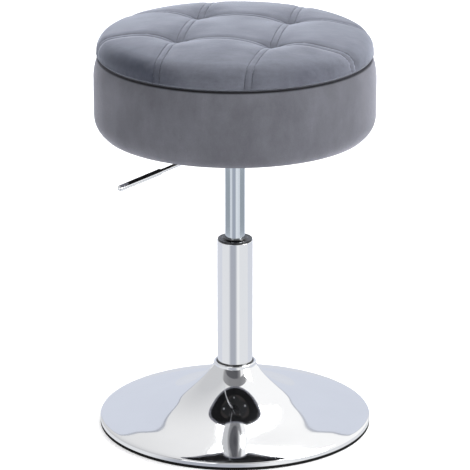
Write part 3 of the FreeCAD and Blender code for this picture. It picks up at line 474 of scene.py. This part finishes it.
collar = {"inner": 26.6, "width": 3.3, "height": 5.0, "round": 1.6, "edge": 0.3, "steps": 160, "smooth": 50}
inner, outer, top = collar["inner"], collar["inner"] + collar["width"], neckTop + collar["height"]
outline = [(inner, neckTop), (outer, neckTop), (outer, top - collar["round"])]
curveTo(outline, (outer - collar["round"], top), collar["round"], 6)
outline += [(inner + collar["edge"], top), (inner, top - collar["edge"]), outline[0]]
neckCollar = lathePiece("neckCollar", outline, collar["steps"], collar["smooth"])
finishPiece(neckCollar, "base", "chrome", "chrome", "neck_collar")

seal = {"inner": 25.05, "outer": 26.55, "height": 6.0, "lip": 0.5, "edge": 0.3, "steps": 160}
inner, outer, top = seal["inner"], seal["outer"], neckTop + seal["height"]
outline = [(inner, neckTop), (outer, neckTop), (outer, top - seal["lip"])]
curveTo(outline, (outer - seal["lip"], top), seal["lip"], 4)
outline += [(inner + seal["edge"], top), (inner, top - seal["edge"]), outline[0]]
neckSeal = lathePiece("neckSeal", outline, seal["steps"])
finishPiece(neckSeal, "base", "black_plastic", "black_plastic", "neck_seal")
print("stool: trumpet base, collar and seal")


# column, guide bush, gas cylinder and lever
column = {
    "radius": 25.0, "bore": 23.2, "top": 270.0, "foot": 10.0, "footRadius": 23.6, "footBore": 21.8, "floor": 14.0,
    "edge": 0.7, "hole": 4.3, "rings": (60, 120), "steps": 160, "smooth": 40,
}
outer, bore, top, edge = pick(column, "radius", "bore", "top", "edge")
outline = [(column["hole"], column["foot"]), (column["footRadius"], column["foot"]), (outer, neckTop)]
outline += [(outer, neckTop + ring) for ring in column["rings"]] + [(outer, top - edge)]
curveTo(outline, (outer - edge, top), edge, 5)
outline += [(bore, top), (bore, neckTop), (column["footBore"], column["floor"])]
outline += [(column["hole"], column["floor"]), outline[0]]
columnTube = lathePiece("columnTube", outline, column["steps"], column["smooth"])
finishPiece(columnTube, "base", "chrome", "chrome", "outer_tube")

bush = {   # the groove is the radius and the depth of its corners
    "bore": 14.08, "wall": 2.4, "length": 62.0, "flange": 2.6, "lip": 2.2, "lipWidth": 2.6, "skin": 23.15,
    "edge": 0.7, "groove": ((21.6, 0.0), (21.2, 0.5), (20.4, 0.5), (20.0, 0.0)), "mouth": 0.5, "steps": 128,
}
low, under, flat = top - bush["length"], top - bush["flange"], top + bush["flange"]
high = flat + bush["lip"]
bore, sleeve, skin = bush["bore"], bush["skin"] - bush["wall"], bush["skin"]
edge, rim, lip = bush["edge"], column["radius"] - bush["edge"], bore + bush["lipWidth"]
outline = [(bore, low), (bore + bush["wall"], low), (bore + bush["wall"], under), (sleeve, under)]
outline += [(sleeve, low), (skin, low), (skin, top), (rim, top), (rim, flat - edge)]
curveTo(outline, (rim - edge, flat), edge, 4)
outline += [(across, flat - depth) for across, depth in bush["groove"]] + [(lip + bush["lip"], flat)]
curveTo(outline, (lip, high), -bush["lip"], 6)
outline += [(bore + bush["mouth"], high), (bore, high - bush["mouth"]), outline[0]]
guideBush = lathePiece("guideBush", outline, bush["steps"])
finishPiece(guideBush, "base", "black_plastic", "black_plastic", "guide_bush")

cylinder = {
    "radius": 14.0, "bore": 12.5, "bottom": 138.0, "hub": 382.0, "top": 406.0, "taper": 13.5, "crimp": 2.0,
    "mouth": 8.0, "edge": 0.7, "rings": 8, "steps": 128,
}
outer, low, edge = pick(cylinder, "radius", "bottom", "edge")
outline = [(cylinder["mouth"], low), (outer - edge, low)]
curveTo(outline, (outer, low + edge), edge, 4)
for step in range(1, cylinder["rings"] + 1):
    outline.append((outer, low + (cylinder["hub"] - low) * step / cylinder["rings"]))
outline += [(cylinder["taper"], cylinder["top"]), (cylinder["bore"], cylinder["top"])]
outline += [(cylinder["bore"], low + cylinder["crimp"]), (cylinder["mouth"], low + cylinder["crimp"]), outline[0]]
gasCylinder = lathePiece("gasCylinder", outline, cylinder["steps"])
finishPiece(gasCylinder, "seat", "chrome", "cylinder", "gas_cylinder")

grip = {   # lengths are along the lever from its pivot
    "tip": 166.137, "length": 72.0, "radius": 4.5, "bore": 3.05, "cap": 7.95, "dome": 3.2, "edge": 0.5, "steps": 64,
    "pivot": 36.0, "height": 409.108, "turn": 217.6, "droop": 9.2,
}
outer, bore, edge, tip = pick(grip, "radius", "bore", "edge", "tip")
start, domed, cap = tip - grip["length"], tip - grip["dome"], tip - grip["cap"]
domeArc = (outer ** 2 + grip["dome"] ** 2) / (2 * grip["dome"])
outline = [(bore, start), (outer - edge, start)]
curveTo(outline, (outer, start + edge), edge, 4)
outline += [(outer, (start + domed) / 2), (outer, domed)]
curveTo(outline, (0, tip), domeArc, 8)
outline += [(0, cap), (bore, cap), outline[0]]
leverGrip = lathePiece("leverGrip", outline, grip["steps"])
yaw, fall = math.radians(grip["turn"]), math.radians(grip["droop"])
heading = Vector((math.cos(yaw) * math.cos(fall), math.sin(yaw) * math.cos(fall), -math.sin(fall)))
pivot = Vector((grip["pivot"] * math.cos(yaw), grip["pivot"] * math.sin(yaw), grip["height"])) * mm
tilt = Vector((0, 0, 1)).rotation_difference(heading).to_matrix().to_4x4()
leverGrip.matrix_world = Matrix.Translation(pivot) @ tilt
applyPlace()
finishPiece(leverGrip, "lever", "chrome", "chrome", "lever_grip")

for pieceName, nodeName, bodyName, slotName in (
    ("leverRod", "lever_rod", "lever", "chrome"),
    ("seatHub", "seat_hub", "seat", "black_steel"),
    ("floorRing", "floor_ring", "base", "rubber"),
    ("plateBolts", "plate_bolts", "seat", "steel"),
    ("plateWashers", "plate_washers", "seat", "steel"),
    ("leverPivotPin", "lever_pivot_pin", "seat", "steel"),
    ("leverBracket", "lever_bracket", "seat", "black_steel"),
    ("pistonRod", "piston_rod", "rod", "chrome"),
    ("lidRing", "lid_ring", "lid", "plywood"),
    ("lidRingScrews", "lid_ring_screws", "lid", "steel"),
):
    finishPiece(smoothCopy(pieceName, nodeName), bodyName, slotName, slotName, nodeName)
print("stool: column, bush, cylinder and lever")


# storage drum: velvet over padding, one soft shell that turns in under the hoop
drum = {
    "radius": 195.5, "bottom": 431.0, "top": 538.0, "tuck": 168.0, "wallOuter": 182.05, "lip": 177.05, "lipEdge": 0.6,
    "footReach": 183.5, "footRise": 24.7, "footEdge": 1.2, "footOut": 0.6, "footRound": 2.2,
    "topInset": 5.5, "topRise": 28.0, "shoulderOut": 0.8, "shoulderDrop": 4.0, "shoulderIn": 3.4, "shoulderRound": 4.4,
    "coverFoot": 1.55, "coverTop": 1.45, "underRing": 175.0, "lipRing": 184.0, "rings": 12, "steps": 240, "smooth": 60,
    "waves": 0.0011, "waveScale": 0.055, "waveDepth": 2, "waveMiddle": 0.62, "waveReach": 186.5,
    "waveFoot": 433.0, "waveFootFade": 30.0, "waveTop": 534.0, "waveTopFade": 12.0,
    "seamDepth": 1.1, "seamHalf": 1.4, "seamReach": 187.0,
}


def drumArc(inset, rise):
    return (inset * inset + rise * rise) / (2 * inset)


low, top, outer = pick(drum, "bottom", "top", "radius")
outline = [(drum["tuck"], low), (drum["underRing"], low), (drum["footReach"] - drum["footEdge"], low)]
curveTo(outline, (drum["footReach"] + drum["footOut"], low + drum["footEdge"]), drum["footRound"], 4)
curveTo(outline, (outer, low + drum["footRise"]), drumArc(outer - drum["footReach"], drum["footRise"]), 14)
straight = top - drum["topRise"] - low - drum["footRise"]
for step in range(1, drum["rings"] + 1):
    outline.append((outer, low + drum["footRise"] + straight * step / drum["rings"]))
shoulder, topArc = outer - drum["topInset"], drumArc(drum["topInset"], drum["topRise"])
curveTo(outline, (shoulder + drum["shoulderOut"], top - drum["shoulderDrop"]), topArc, 9)
curveTo(outline, (shoulder - drum["shoulderIn"], top), drum["shoulderRound"], 6)
outline += [(drum["lipRing"], top), (drum["lip"] + drum["lipEdge"], top), (drum["lip"], top - drum["lipEdge"])]
ceiling, ground = top - drum["coverTop"], low + drum["coverFoot"]
outline += [(drum["lip"], ceiling), (drum["wallOuter"], ceiling), (drum["wallOuter"], ground)]
outline += [(drum["tuck"], ground), outline[0]]
drumCover = lathePiece("drumCover", outline, drum["steps"], drum["smooth"])

# slow waves of the padding under the cloth, on the outer side only
side = drumCover.vertex_groups.new(name="side")
for vertex in drumCover.data.vertices:
    across, height = math.hypot(vertex.co.x, vertex.co.y) / mm, vertex.co.z / mm
    if across > drum["waveReach"]:
        fade = clamp((height - drum["waveFoot"]) / drum["waveFootFade"])
        fade *= clamp((drum["waveTop"] - height) / drum["waveTopFade"])
        side.add([vertex.index], fade, "REPLACE")
waves = bpy.data.textures.new("drumWaves", "CLOUDS")
waves.noise_scale = drum["waveScale"]
waves.noise_depth = drum["waveDepth"]
applyModifier(drumCover, "DISPLACE", texture=waves, texture_coords="LOCAL", vertex_group="side",
              strength=drum["waves"], mid_level=drum["waveMiddle"])

# the sewn join of the cover, at the back
editAll()
for offset in (-drum["seamHalf"], drum["seamHalf"], 0.0):
    selectAll()
    bpy.ops.mesh.bisect(plane_co=(offset * mm, 0, 0), plane_no=(1, 0, 0))
toObject()
for vertex in drumCover.data.vertices:
    if abs(vertex.co.x) < near["seam"] and vertex.co.y > drum["seamReach"] * mm:
        vertex.co.y -= drum["seamDepth"] * mm
smoothBelow(drum["smooth"])
finishPiece(drumCover, "seat", "velvet", "velvet", "drum_cover", "drum_padding")
print("stool: drum cover")


# cloth inside and under the drum
lining = {
    "outer": 176.95, "sheet": 1.0, "low": 445.5, "high": 537.9, "outerEdge": 0.4, "innerEdge": 0.3, "rings": 10,
    "steps": 200,
}
outer, low, high = pick(lining, "outer", "low", "high")
inner, turned = outer - lining["sheet"], high - lining["innerEdge"]
outline = [(inner, low), (outer, low), (outer, high - lining["outerEdge"]), (outer - lining["outerEdge"], high)]
outline += [(inner + lining["innerEdge"], high), (inner, turned)]
for step in range(1, lining["rings"]):
    outline.append((inner, turned - (turned - low) * step / lining["rings"]))
outline.append(outline[0])
drumLining = lathePiece("drumLining", outline, lining["steps"])
finishPiece(drumLining, "seat", "lining", "liner", "drum_lining")

floorCloth = {"radius": 176.9, "low": 444.5, "high": 445.5, "edge": 0.3, "rings": (120.0, 60.0), "steps": 160}
outer, low, high, edge = pick(floorCloth, "radius", "low", "high", "edge")
outline = [(0, low), (outer, low), (outer, high - edge), (outer - edge, high)]
outline += [(ring, high) for ring in floorCloth["rings"]] + [(0, high)]
floorLining = lathePiece("floorLining", outline, floorCloth["steps"])
finishPiece(floorLining, "seat", "lining", "liner", "floor_lining")

lidCloth = {"radius": 161.6, "low": 538.95, "high": 539.95, "edge": 0.3, "rings": (60.0, 120.0), "steps": 160}
outer, low, high, edge = pick(lidCloth, "radius", "low", "high", "edge")
outline = [(0, low)] + [(ring, low) for ring in lidCloth["rings"]] + [(outer - edge, low)]
outline += [(outer, low + edge), (outer, high), (0, high)]
lidLining = lathePiece("lidLining", outline, lidCloth["steps"])
finishPiece(lidLining, "lid", "lining", "liner", "lid_lining")

dust = {"inner": 99.9, "outer": 167.65, "low": 431.5, "high": 432.5, "rings": (125.0, 150.0), "steps": 160}
inner, outer, low, high = pick(dust, "inner", "outer", "low", "high")
outline = [(inner, low)] + [(ring, low) for ring in dust["rings"]] + [(outer, low), (outer, high)]
outline += [(inner, high), outline[0]]
dustCover = lathePiece("dustCover", outline, dust["steps"])
finishPiece(dustCover, "seat", "lining", "lining", "dust_cover")
print("stool: linings and dust cover")


# tufted lid: swollen by a cloth run between its sewn lines, rolled under at its edge, then creased
lid = {
    "radius": 191.3, "bottom": 539.4, "side": 546.5, "crown": 580.4, "crownFlat": 104.0, "crownSlope": 16.0,
    "rings": (90.0, 50.0), "footIn": 3.0, "footOut": 0.6, "footRise": 3.0, "steps": 160, "voxel": 4.4, "smooth": 70,
    "halfPitch": 65.0, "turn": -12.0, "tuftDrop": 15.0, "tuftReach": 54.0, "tuftMix": 0.35, "tuftHeld": 9.0,
    "tuftFrom": 556.0, "tuftFade": 12.0, "pinchDrop": 4.2, "pinchReach": 15.0, "pinchFrom": 550.0,
    "seamHalf": 4.6, "seamFade": 5.0, "freeFrom": 545.0, "valleyDrop": 1.7, "valleyReach": 13.0, "valleyFrom": 541.0,
    "valleyFade": 8.0, "stripRise": 0.8, "lineDepth": 1.2, "lineHalf": 1.2, "lineFrom": 539.2, "lineCentre": 500.0,
    "swell": 3.4, "frames": 20, "cloth": {
        "quality": 5, "mass": 0.3, "tension_stiffness": 12, "compression_stiffness": 12, "shear_stiffness": 6,
        "bending_stiffness": 0.6, "use_pressure": True, "uniform_pressure_force": 4.0, "vertex_group_mass": "held"},
    "easeRounds": 2, "easeFactor": 0.5, "easeSteps": 2, "cut": 545.2, "cutReach": 0.01,
    "roll": ((191.3, 542.8), (190.2, 541.0), (188.4, 539.6), (186.0, 538.7), (180.0, 538.4), (175.6, 538.4),
             (175.2, 538.8), (175.2, 540.2)),
    "leanLeft": 1.4, "leanRight": 3.2, "leanSides": (-80.0, 50.0), "leanInner": 75.0, "leanOuter": 185.0,
    "leanFront": 90.0, "leanEnd": (120.0, 185.0),
}
outer, low, side, crown = pick(lid, "radius", "bottom", "side", "crown")
sine, cosine = math.sin(math.radians(lid["crownSlope"])), math.cos(math.radians(lid["crownSlope"]))
reach, share = outer - lid["crownFlat"], cosine / (1 - sine)
crownArc = (reach * share - (crown - side)) / (sine * share - (1 - cosine))
sideArc = (reach - crownArc * sine) / (1 - sine)
lowRing, topRing = lid["rings"]
outline = [(0, low), (lowRing, low), (outer - lid["footIn"], low)]
outline += [(outer - lid["footOut"], low + lid["footRise"]), (outer, side)]
curveTo(outline, (outer - sideArc + sideArc * sine, side + sideArc * cosine), sideArc, 14)
curveTo(outline, (lid["crownFlat"], crown), crownArc, 10)
outline += [(topRing, crown), (0, crown)]
lidCover = lathePiece("lidCover", outline, lid["steps"], lid["smooth"])
lidCover.data.remesh_voxel_size = lid["voxel"] * mm
bpy.ops.object.voxel_remesh()

half = lid["halfPitch"]
tufts = [(x, y) for x in (-half, half) for y in (-half, half)]


def nearestTuft(x, y):
    return min(math.hypot(x - tx, y - ty) for tx, ty in tufts)


def nearestSeam(x, y):
    return min(abs(abs(x) - half), abs(abs(y) - half))


# pull the four tufts down, and hold the sewn lines, the tufts and the foot of the side
held = lidCover.vertex_groups.new(name="held")
for vertex in lidCover.data.vertices:
    x, y, z = vertex.co / mm
    nearest = nearestTuft(x, y)
    pull = max(0, 1 - nearest / lid["tuftReach"])
    pull = lid["tuftMix"] * pull + (1 - lid["tuftMix"]) * pull ** 3
    vertex.co.z -= lid["tuftDrop"] * mm * clamp((z - lid["tuftFrom"]) / lid["tuftFade"]) * pull
    weight = clamp(1 - (nearestSeam(x, y) - lid["seamHalf"]) / lid["seamFade"]) if z > lid["freeFrom"] else 1
    if nearest < lid["tuftHeld"]:
        weight = 1
    if weight > 0:
        held.add([vertex.index], weight, "REPLACE")

start = [vertex.co.copy() for vertex in lidCover.data.vertices]
cloth = lidCover.modifiers.new("swell", "CLOTH")
for name, value in lid["cloth"].items():
    setattr(cloth.settings, name, value)
cloth.settings.effector_weights.gravity = 0
cloth.collision_settings.use_collision = False
cloth.point_cache.frame_start = 1
cloth.point_cache.frame_end = lid["frames"]
for number in range(1, lid["frames"] + 1):
    scene.frame_set(number)
bpy.ops.object.modifier_apply(modifier=cloth.name)
moved = 0
for vertex, before in zip(lidCover.data.vertices, start):
    move = vertex.co - before
    moved = max(moved, move.length)
    if move.length > lid["swell"] * mm:
        vertex.co = before + move.normalized() * lid["swell"] * mm
scene.frame_set(1)
print("stool: lid swelled by up to", round(moved / mm, 1), "mm before the cap")
for number in range(lid["easeRounds"]):
    applyModifier(lidCover, "SMOOTH", factor=lid["easeFactor"], iterations=lid["easeSteps"])
applyModifier(lidCover, "SUBSURF", levels=1, render_levels=1)

# cut off the rough underside and roll the edge under through the listed points
height = lid["cut"]
editAll()
bpy.ops.mesh.bisect(plane_co=(0, 0, height * mm), plane_no=(0, 0, 1), clear_inner=True)
toObject()
edgeReach = []
for vertex in lidCover.data.vertices:
    vertex.select = vertex.co.z < (height + lid["cutReach"]) * mm
    if vertex.select:
        edgeReach.append(math.hypot(vertex.co.x, vertex.co.y))
reachNow = sum(edgeReach) / len(edgeReach) / mm
bpy.ops.object.mode_set(mode="EDIT")
for across, up in lid["roll"]:
    bpy.ops.mesh.extrude_region_move(TRANSFORM_OT_translate={"value": (0, 0, (up - height) * mm)})
    factor = across / reachNow
    bpy.ops.transform.resize(value=(factor, factor, 1), center_override=(0, 0, up * mm))
    reachNow, height = across, up
bpy.ops.mesh.edge_face_add()
toObject()

# the last hard pull of the thread at each tuft, and the valley that each sewn strip lies in
outward = [vertex.normal.copy() for vertex in lidCover.data.vertices]
for vertex, normalHere in zip(lidCover.data.vertices, outward):
    x, y, z = vertex.co / mm
    seam = nearestSeam(x, y)
    valley = max(0, 1 - max(0, seam - lid["seamHalf"]) / lid["valleyReach"]) ** 2
    strip = max(0, 1 - seam / lid["seamHalf"])
    upper = clamp((z - lid["valleyFrom"]) / lid["valleyFade"])
    vertex.co -= normalHere * (lid["valleyDrop"] * valley - lid["stripRise"] * strip) * upper * mm
    if z > lid["pinchFrom"]:
        vertex.co.z -= lid["pinchDrop"] * max(0, 1 - nearestTuft(x, y) / lid["pinchReach"]) ** 2 * mm
lidCover.data.update()

# the sewn lines: two fine creases along each channel
lines = [sign * half + shift for sign in (-1, 1) for shift in (-lid["seamHalf"], lid["seamHalf"])]
creases = []
for axis, normal in enumerate(((1, 0, 0), (0, 1, 0))):
    for place in lines:
        bpy.ops.object.mode_set(mode="EDIT")
        for offset in (-lid["lineHalf"], lid["lineHalf"], 0):
            selectAll()
            spot = tuple(n * (place + offset) * mm for n in normal)
            bpy.ops.mesh.bisect(plane_co=spot, plane_no=normal)
        toObject()
        path = []
        for vertex in lidCover.data.vertices:
            if abs(vertex.co[axis] - place * mm) < near["crease"] and vertex.co.z > lid["lineFrom"] * mm:
                path.append((vertex.index, vertex.co.copy(), vertex.normal.copy()))
        for index, spot, normalHere in path:
            lidCover.data.vertices[index].co = spot - normalHere * lid["lineDepth"] * mm
        path.sort(key=lambda entry: math.atan2(entry[1].z - lid["lineCentre"] * mm, entry[1][1 - axis]))
        creases.append([(spot, normalHere) for index, spot, normalHere in path])
editAll()
bpy.ops.mesh.normals_make_consistent(inside=False)
toObject()
smoothBelow(lid["smooth"])
print("stool: lid cover,", len(lidCover.data.polygons), "faces")

# topstitching in the creases: one stitch modelled, then copied along each line
thread = {
    "pitch": 4.4, "length": 3.1, "radius": 0.38, "sides": 6, "taper": 0.55, "sink": 0.72,
    "shortest": 1e-7, "longest": 0.02,
}
long = thread["length"] * mm
clearSelection()
bpy.ops.mesh.primitive_cylinder_add(
    vertices=thread["sides"], radius=thread["radius"] * mm, depth=long, end_fill_type="TRIFAN")
stitch = bpy.context.object
editAll()
bpy.ops.mesh.subdivide(number_cuts=1)
toObject()
for vertex in stitch.data.vertices:
    ease = 1 - thread["taper"] * (abs(vertex.co.z) / (long / 2)) ** 2
    vertex.co.x *= ease
    vertex.co.y *= ease
copies = []
for path in creases:
    travelled, wanted = 0.0, thread["pitch"] * mm / 2
    for (here, up), (there, upNext) in zip(path, path[1:]):
        span = (there - here).length
        if span < thread["shortest"] or span > thread["longest"]:
            continue
        while travelled + span >= wanted:
            share = (wanted - travelled) / span
            forward = (there - here).normalized()
            aside = up.lerp(upNext, share).normalized().cross(forward).normalized()
            lift = forward.cross(aside)
            spot = here.lerp(there, share) - lift * (lid["lineDepth"] * thread["sink"]) * mm
            turn = Matrix((aside, lift, forward)).transposed().to_4x4()
            copies.append(Matrix.Translation(spot) @ turn)
            wanted += thread["pitch"] * mm
        travelled += span
clearSelection()
for matrix in copies:
    copy = stitch.copy()
    copy.data = stitch.data.copy()
    copy.matrix_world = matrix
    scene.collection.objects.link(copy)
    copy.select_set(True)
bpy.data.objects.remove(stitch)
bpy.context.view_layer.objects.active = copy
bpy.ops.object.join()
applyPlace()
lidTopstitch = bpy.context.object
lidTopstitch.name = lidTopstitch.data.name = "lidTopstitch"

# turn the lid as in the photo; its sewn lines lean over a little where the cloth is pulled down in front
leanFrom, leanTo = lid["leanSides"]
fadeFrom, fadeTo = lid["leanEnd"]
for piece in (lidCover, lidTopstitch):
    selectOnly(piece)
    piece.rotation_euler = (0, 0, math.radians(lid["turn"]))
    applyPlace()
    for vertex in piece.data.vertices:
        x, y = vertex.co.x / mm, vertex.co.y / mm
        across = clamp((math.hypot(x, y) - lid["leanInner"]) / (lid["leanOuter"] - lid["leanInner"]))
        front = clamp(-y / lid["leanFront"])
        lean = lid["leanLeft"] + (lid["leanRight"] - lid["leanLeft"]) * clamp((x - leanFrom) / (leanTo - leanFrom))
        if x > fadeFrom:
            lean *= max(0, (fadeTo - x) / (fadeTo - fadeFrom))
        angle = -math.radians(lean) * across * across * (3 - 2 * across) * front
        vertex.co.x = (x * math.cos(angle) - y * math.sin(angle)) * mm
        vertex.co.y = (x * math.sin(angle) + y * math.cos(angle)) * mm
bpy.ops.object.shade_smooth()
finishPiece(lidCover, "lid", "velvet", "lidVelvet", "lid_cover", "lid_foam")
finishPiece(lidTopstitch, "lid", "velvet", "thread")
print("stool: lid stitched,", len(copies), "stitches")


# studio: white floor, reflection cards, soft lamps and the camera
studio = {
    "floorSize": 30.0, "floorHeight": -0.0004, "floorPaint": (0.86, 0.86, 0.87), "floorRough": 0.9, "floorGloss": 0.1,
    "floorLift": 0.42, "farLift": 1.0, "liftSpan": (0.8, 5.0),
    "worldLight": 0.46, "worldDim": (0.60, 0.605, 0.62), "worldSpan": (-0.6, 0.15),
}


def joinMax(tree, first, second):
    larger = tree.nodes.new("ShaderNodeMath")
    larger.operation = "MAXIMUM"
    tree.links.new(first, larger.inputs[0])
    tree.links.new(second, larger.inputs[1])
    return larger.outputs[0]


def seenDirectly(tree):
    # 1 for what the camera sees straight, in a mirror or through glass
    paths = tree.nodes.new("ShaderNodeLightPath").outputs
    return joinMax(tree, joinMax(tree, paths["Is Camera Ray"], paths["Is Glossy Ray"]), paths["Is Transmission Ray"])


clearSelection()
bpy.ops.mesh.primitive_plane_add(size=studio["floorSize"], location=(0, 0, studio["floorHeight"]))
floor = bpy.context.object
floor.name = "studioFloor"
floorPaint = bpy.data.materials.new("studioFloor")
floorPaint.use_nodes = True
tree = floorPaint.node_tree
shader = tree.nodes["Principled BSDF"]
setSockets(shader, {
    "Base Color": (*studio["floorPaint"], 1), "Roughness": studio["floorRough"],
    "Specular IOR Level": studio["floorGloss"], "Emission Color": (1, 1, 1, 1),
})
glow = tree.nodes.new("ShaderNodeMath")
glow.operation = "MULTIPLY"
away = tree.nodes.new("ShaderNodeVectorMath")   # further off, where the lamps fade, the floor is lifted more
away.operation = "LENGTH"
tree.links.new(tree.nodes.new("ShaderNodeTexCoord").outputs["Object"], away.inputs[0])
lift = rangeOf(tree, away.outputs["Value"], *studio["liftSpan"], studio["floorLift"], studio["farLift"])
tree.links.new(seenDirectly(tree), glow.inputs[0])
tree.links.new(lift, glow.inputs[1])
tree.links.new(glow.outputs[0], shader.inputs["Emission Strength"])
floor.data.materials.append(floorPaint)


def reflectionCard(name, corners, colour, stops=()):
    # a matt card that only polished metal sees; stops are tones by the angle round the stool, from the front
    mesh = bpy.data.meshes.new(name)
    mesh.from_pydata(corners, [], [list(range(len(corners)))])
    card = bpy.data.objects.new(name, mesh)
    scene.collection.objects.link(card)
    paint = bpy.data.materials.new(name)
    paint.use_nodes = True
    coat = paint.node_tree.nodes["Principled BSDF"]
    setSockets(coat, {
        "Base Color": (0, 0, 0, 1), "Specular IOR Level": 0, "Emission Color": (*colour, 1), "Emission Strength": 1,
    })
    if stops:
        parts = paint.node_tree.nodes
        links = paint.node_tree.links
        axes = parts.new("ShaderNodeSeparateXYZ")
        links.new(parts.new("ShaderNodeTexCoord").outputs["Object"], axes.inputs[0])
        around = parts.new("ShaderNodeMath")
        around.operation = "ARCTAN2"
        links.new(axes.outputs["Y"], around.inputs[0])
        links.new(axes.outputs["X"], around.inputs[1])
        ramp = parts.new("ShaderNodeValToRGB")
        ramp.color_ramp.interpolation = "EASE"
        while len(ramp.color_ramp.elements) < len(stops):
            ramp.color_ramp.elements.new(0.5)
        for element, (degrees, tone) in zip(ramp.color_ramp.elements, stops):
            element.position = 0.5 + degrees / 180
            element.color = (*tone, 1)
        links.new(rangeOf(paint.node_tree, around.outputs[0], -math.pi, 0, 0, 1), ramp.inputs["Fac"])
        links.new(ramp.outputs["Color"], coat.inputs["Emission Color"])
    card.data.materials.append(paint)
    card.visible_camera = card.visible_diffuse = card.visible_shadow = False


def uprightCard(across, y, low, high, cut=0.0):
    right = [(across, low), (across, high - cut), (across - 0.3 * cut, high - 0.35 * cut), (across - cut, high)]
    return [(x, y, z) for x, z in right] + [(-x, y, z) for x, z in right[::-1]]


def floorCard(across, front, back, up):
    return [(-across, back, up), (-across, front, up), (across, front, up), (across, back, up)]


# cards behind the stool and on the floor; upright ones are half width, distance, foot, top and cut corner
cards = {
    "back": (1.56, 3.0, 0.0, 2.22, 0.25), "backTone": (0.665, 0.70, 0.79),
    "frame": (1.63, 3.02, 0.0, 2.30, 0.25), "frameShadeTone": (0.40, 0.42, 0.48),
    "front": (6, -9, 0, 0.0002), "rear": (6, 0, 3.2, 0.0002), "rearTone": (0.685, 0.71, 0.775),
    "pale": (0.77, 0.785, 0.81), "dark": (0.41, 0.43, 0.485), "bright": (0.88, 0.89, 0.90),
    # the dark stops in front paint the stool's shadow on the floor there, seen only by polished metal
    "frontTones": (
        (-88, "pale"), (-42, "pale"), (-24, "dark"), (0, "dark"), (19, "bright"), (36, "pale"), (88, "pale")),
    "ringNear": 0.84, "ringFar": 1.35, "ringHeight": 0.0005, "ringTurns": (58, 137, 6), "ringShadeTone": (0.36, 0.39, 0.42),
}
reflectionCard("backCard", uprightCard(*cards["back"]), cards["backTone"])
# a darker frame round the back card paints the shade line at its edge
reflectionCard("backShadeFrame", uprightCard(*cards["frame"]), cards["frameShadeTone"])
frontStops = [(degrees, cards[tone]) for degrees, tone in cards["frontTones"]]
reflectionCard("frontCard", floorCard(*cards["front"]), cards["pale"], frontStops)
reflectionCard("rearCard", floorCard(*cards["rear"]), cards["rearTone"])
turns = [math.radians(turn) for turn in range(*cards["ringTurns"])]
ringPath = [(cards["ringNear"], turn) for turn in turns] + [(cards["ringFar"], turn) for turn in turns[::-1]]
for side in (-1, 1):   # painted shade on the floor further off, seen by the gas cylinder's flanks
    ring = [(side * far * math.sin(turn), -far * math.cos(turn), cards["ringHeight"]) for far, turn in ringPath]
    reflectionCard("farFloorShade", ring, cards["ringShadeTone"])

# the dark room behind the camera, in three heights; a stop is its angle, its grey and some more blue
room = {
    "roomCard": ((9.0, -6.0, 2.6, 6.2), (
        (-88, 0.6, 0.02), (-66, 0.5, 0.02), (-42, 0.12, 0.01), (6, 0.07, 0.01), (26, 0.12, 0.01), (35, 0.9, 0.0),
        (46, 0.9, 0.0), (88, 0.6, 0.02))),
    "ceilingCard": ((16.0, -6.0, 6.2, 9.0), (
        (-88, 0.8, 0.01), (-72, 0.62, 0.01), (-54, 0.17, 0.01), (-42, 0.11, 0.01), (10, 0.10, 0.01), (27, 0.22, 0.01),
        (38, 0.92, 0.0), (88, 0.95, 0.0))),
    "roofCard": ((16.0, -6.0, 9.0, 17.0), (
        (-88, 0.8, 0.01), (-72, 0.62, 0.01), (-58, 0.30, 0.01), (-30, 0.24, 0.01), (30, 0.23, 0.01), (54, 0.30, 0.01),
        (68, 0.85, 0.01), (88, 0.95, 0.0))),
}
for cardName, (sizes, tones) in room.items():
    stops = [(degrees, grey(tone, blue)) for degrees, tone, blue in tones]
    reflectionCard(cardName, uprightCard(*sizes), cards["dark"], stops)

world = bpy.data.worlds.new("studioLight")
scene.world = world
world.use_nodes = True
tree = world.node_tree
sky = tree.nodes["Background"]
heading = tree.nodes.new("ShaderNodeSeparateXYZ")
tree.links.new(tree.nodes.new("ShaderNodeTexCoord").outputs["Generated"], heading.inputs[0])
sideways = rangeOf(tree, heading.outputs["X"], *studio["worldSpan"], 0, 1)
softSide = rampOf(tree, sideways, 0.0, 1.0, studio["worldDim"], (1, 1, 1))
plain = tree.nodes.new("ShaderNodeMix")   # plain white for the camera and for light, uneven for polished metal
plain.data_type = "RGBA"
plain.inputs["A"].default_value = (1, 1, 1, 1)
tree.links.new(tree.nodes.new("ShaderNodeLightPath").outputs["Is Glossy Ray"], plain.inputs["Factor"])
tree.links.new(softSide, plain.inputs["B"])
tree.links.new(plain.outputs["Result"], sky.inputs["Color"])
level = rangeOf(tree, seenDirectly(tree), 0, 1, studio["worldLight"], 1.0)
tree.links.new(level, sky.inputs["Strength"])

lamps = {   # place and aim in metres, size of the lamp, and watts
    "keyLamp": ((2.5, -0.9, 1.9), (0, 0, 0.45), 1.5, 50.0),
    "fillLamp": ((-1.5, -2.6, 1.3), (0, 0, 0.42), 1.6, 12.0),
    "topLamp": ((0.4, 1.3, 2.7), (0, 0, 0.5), 1.6, 52.0),
}
for lampName, (spot, aim, size, watts) in lamps.items():
    light = bpy.data.lights.new(lampName, "AREA")
    light.size = size
    light.energy = watts
    lamp = bpy.data.objects.new(lampName, light)
    lamp.location = spot
    lamp.rotation_euler = (Vector(aim) - Vector(spot)).to_track_quat("-Z", "Y").to_euler()
    scene.collection.objects.link(lamp)

view = {"spot": (0.0, -4.0183, 1.6179), "pitch": 71.54, "lens": 231.06, "sensor": 36.0, "clip": 100.0}
cameraData = bpy.data.cameras.new("photoCamera")
cameraData.sensor_width = view["sensor"]
cameraData.lens = view["lens"]
cameraData.clip_end = view["clip"]
camera = bpy.data.objects.new("photoCamera", cameraData)
camera.location = view["spot"]
camera.rotation_euler = (math.radians(view["pitch"]), 0, 0)
scene.collection.objects.link(camera)
scene.camera = camera
print("stool: studio and camera")

clearSelection()
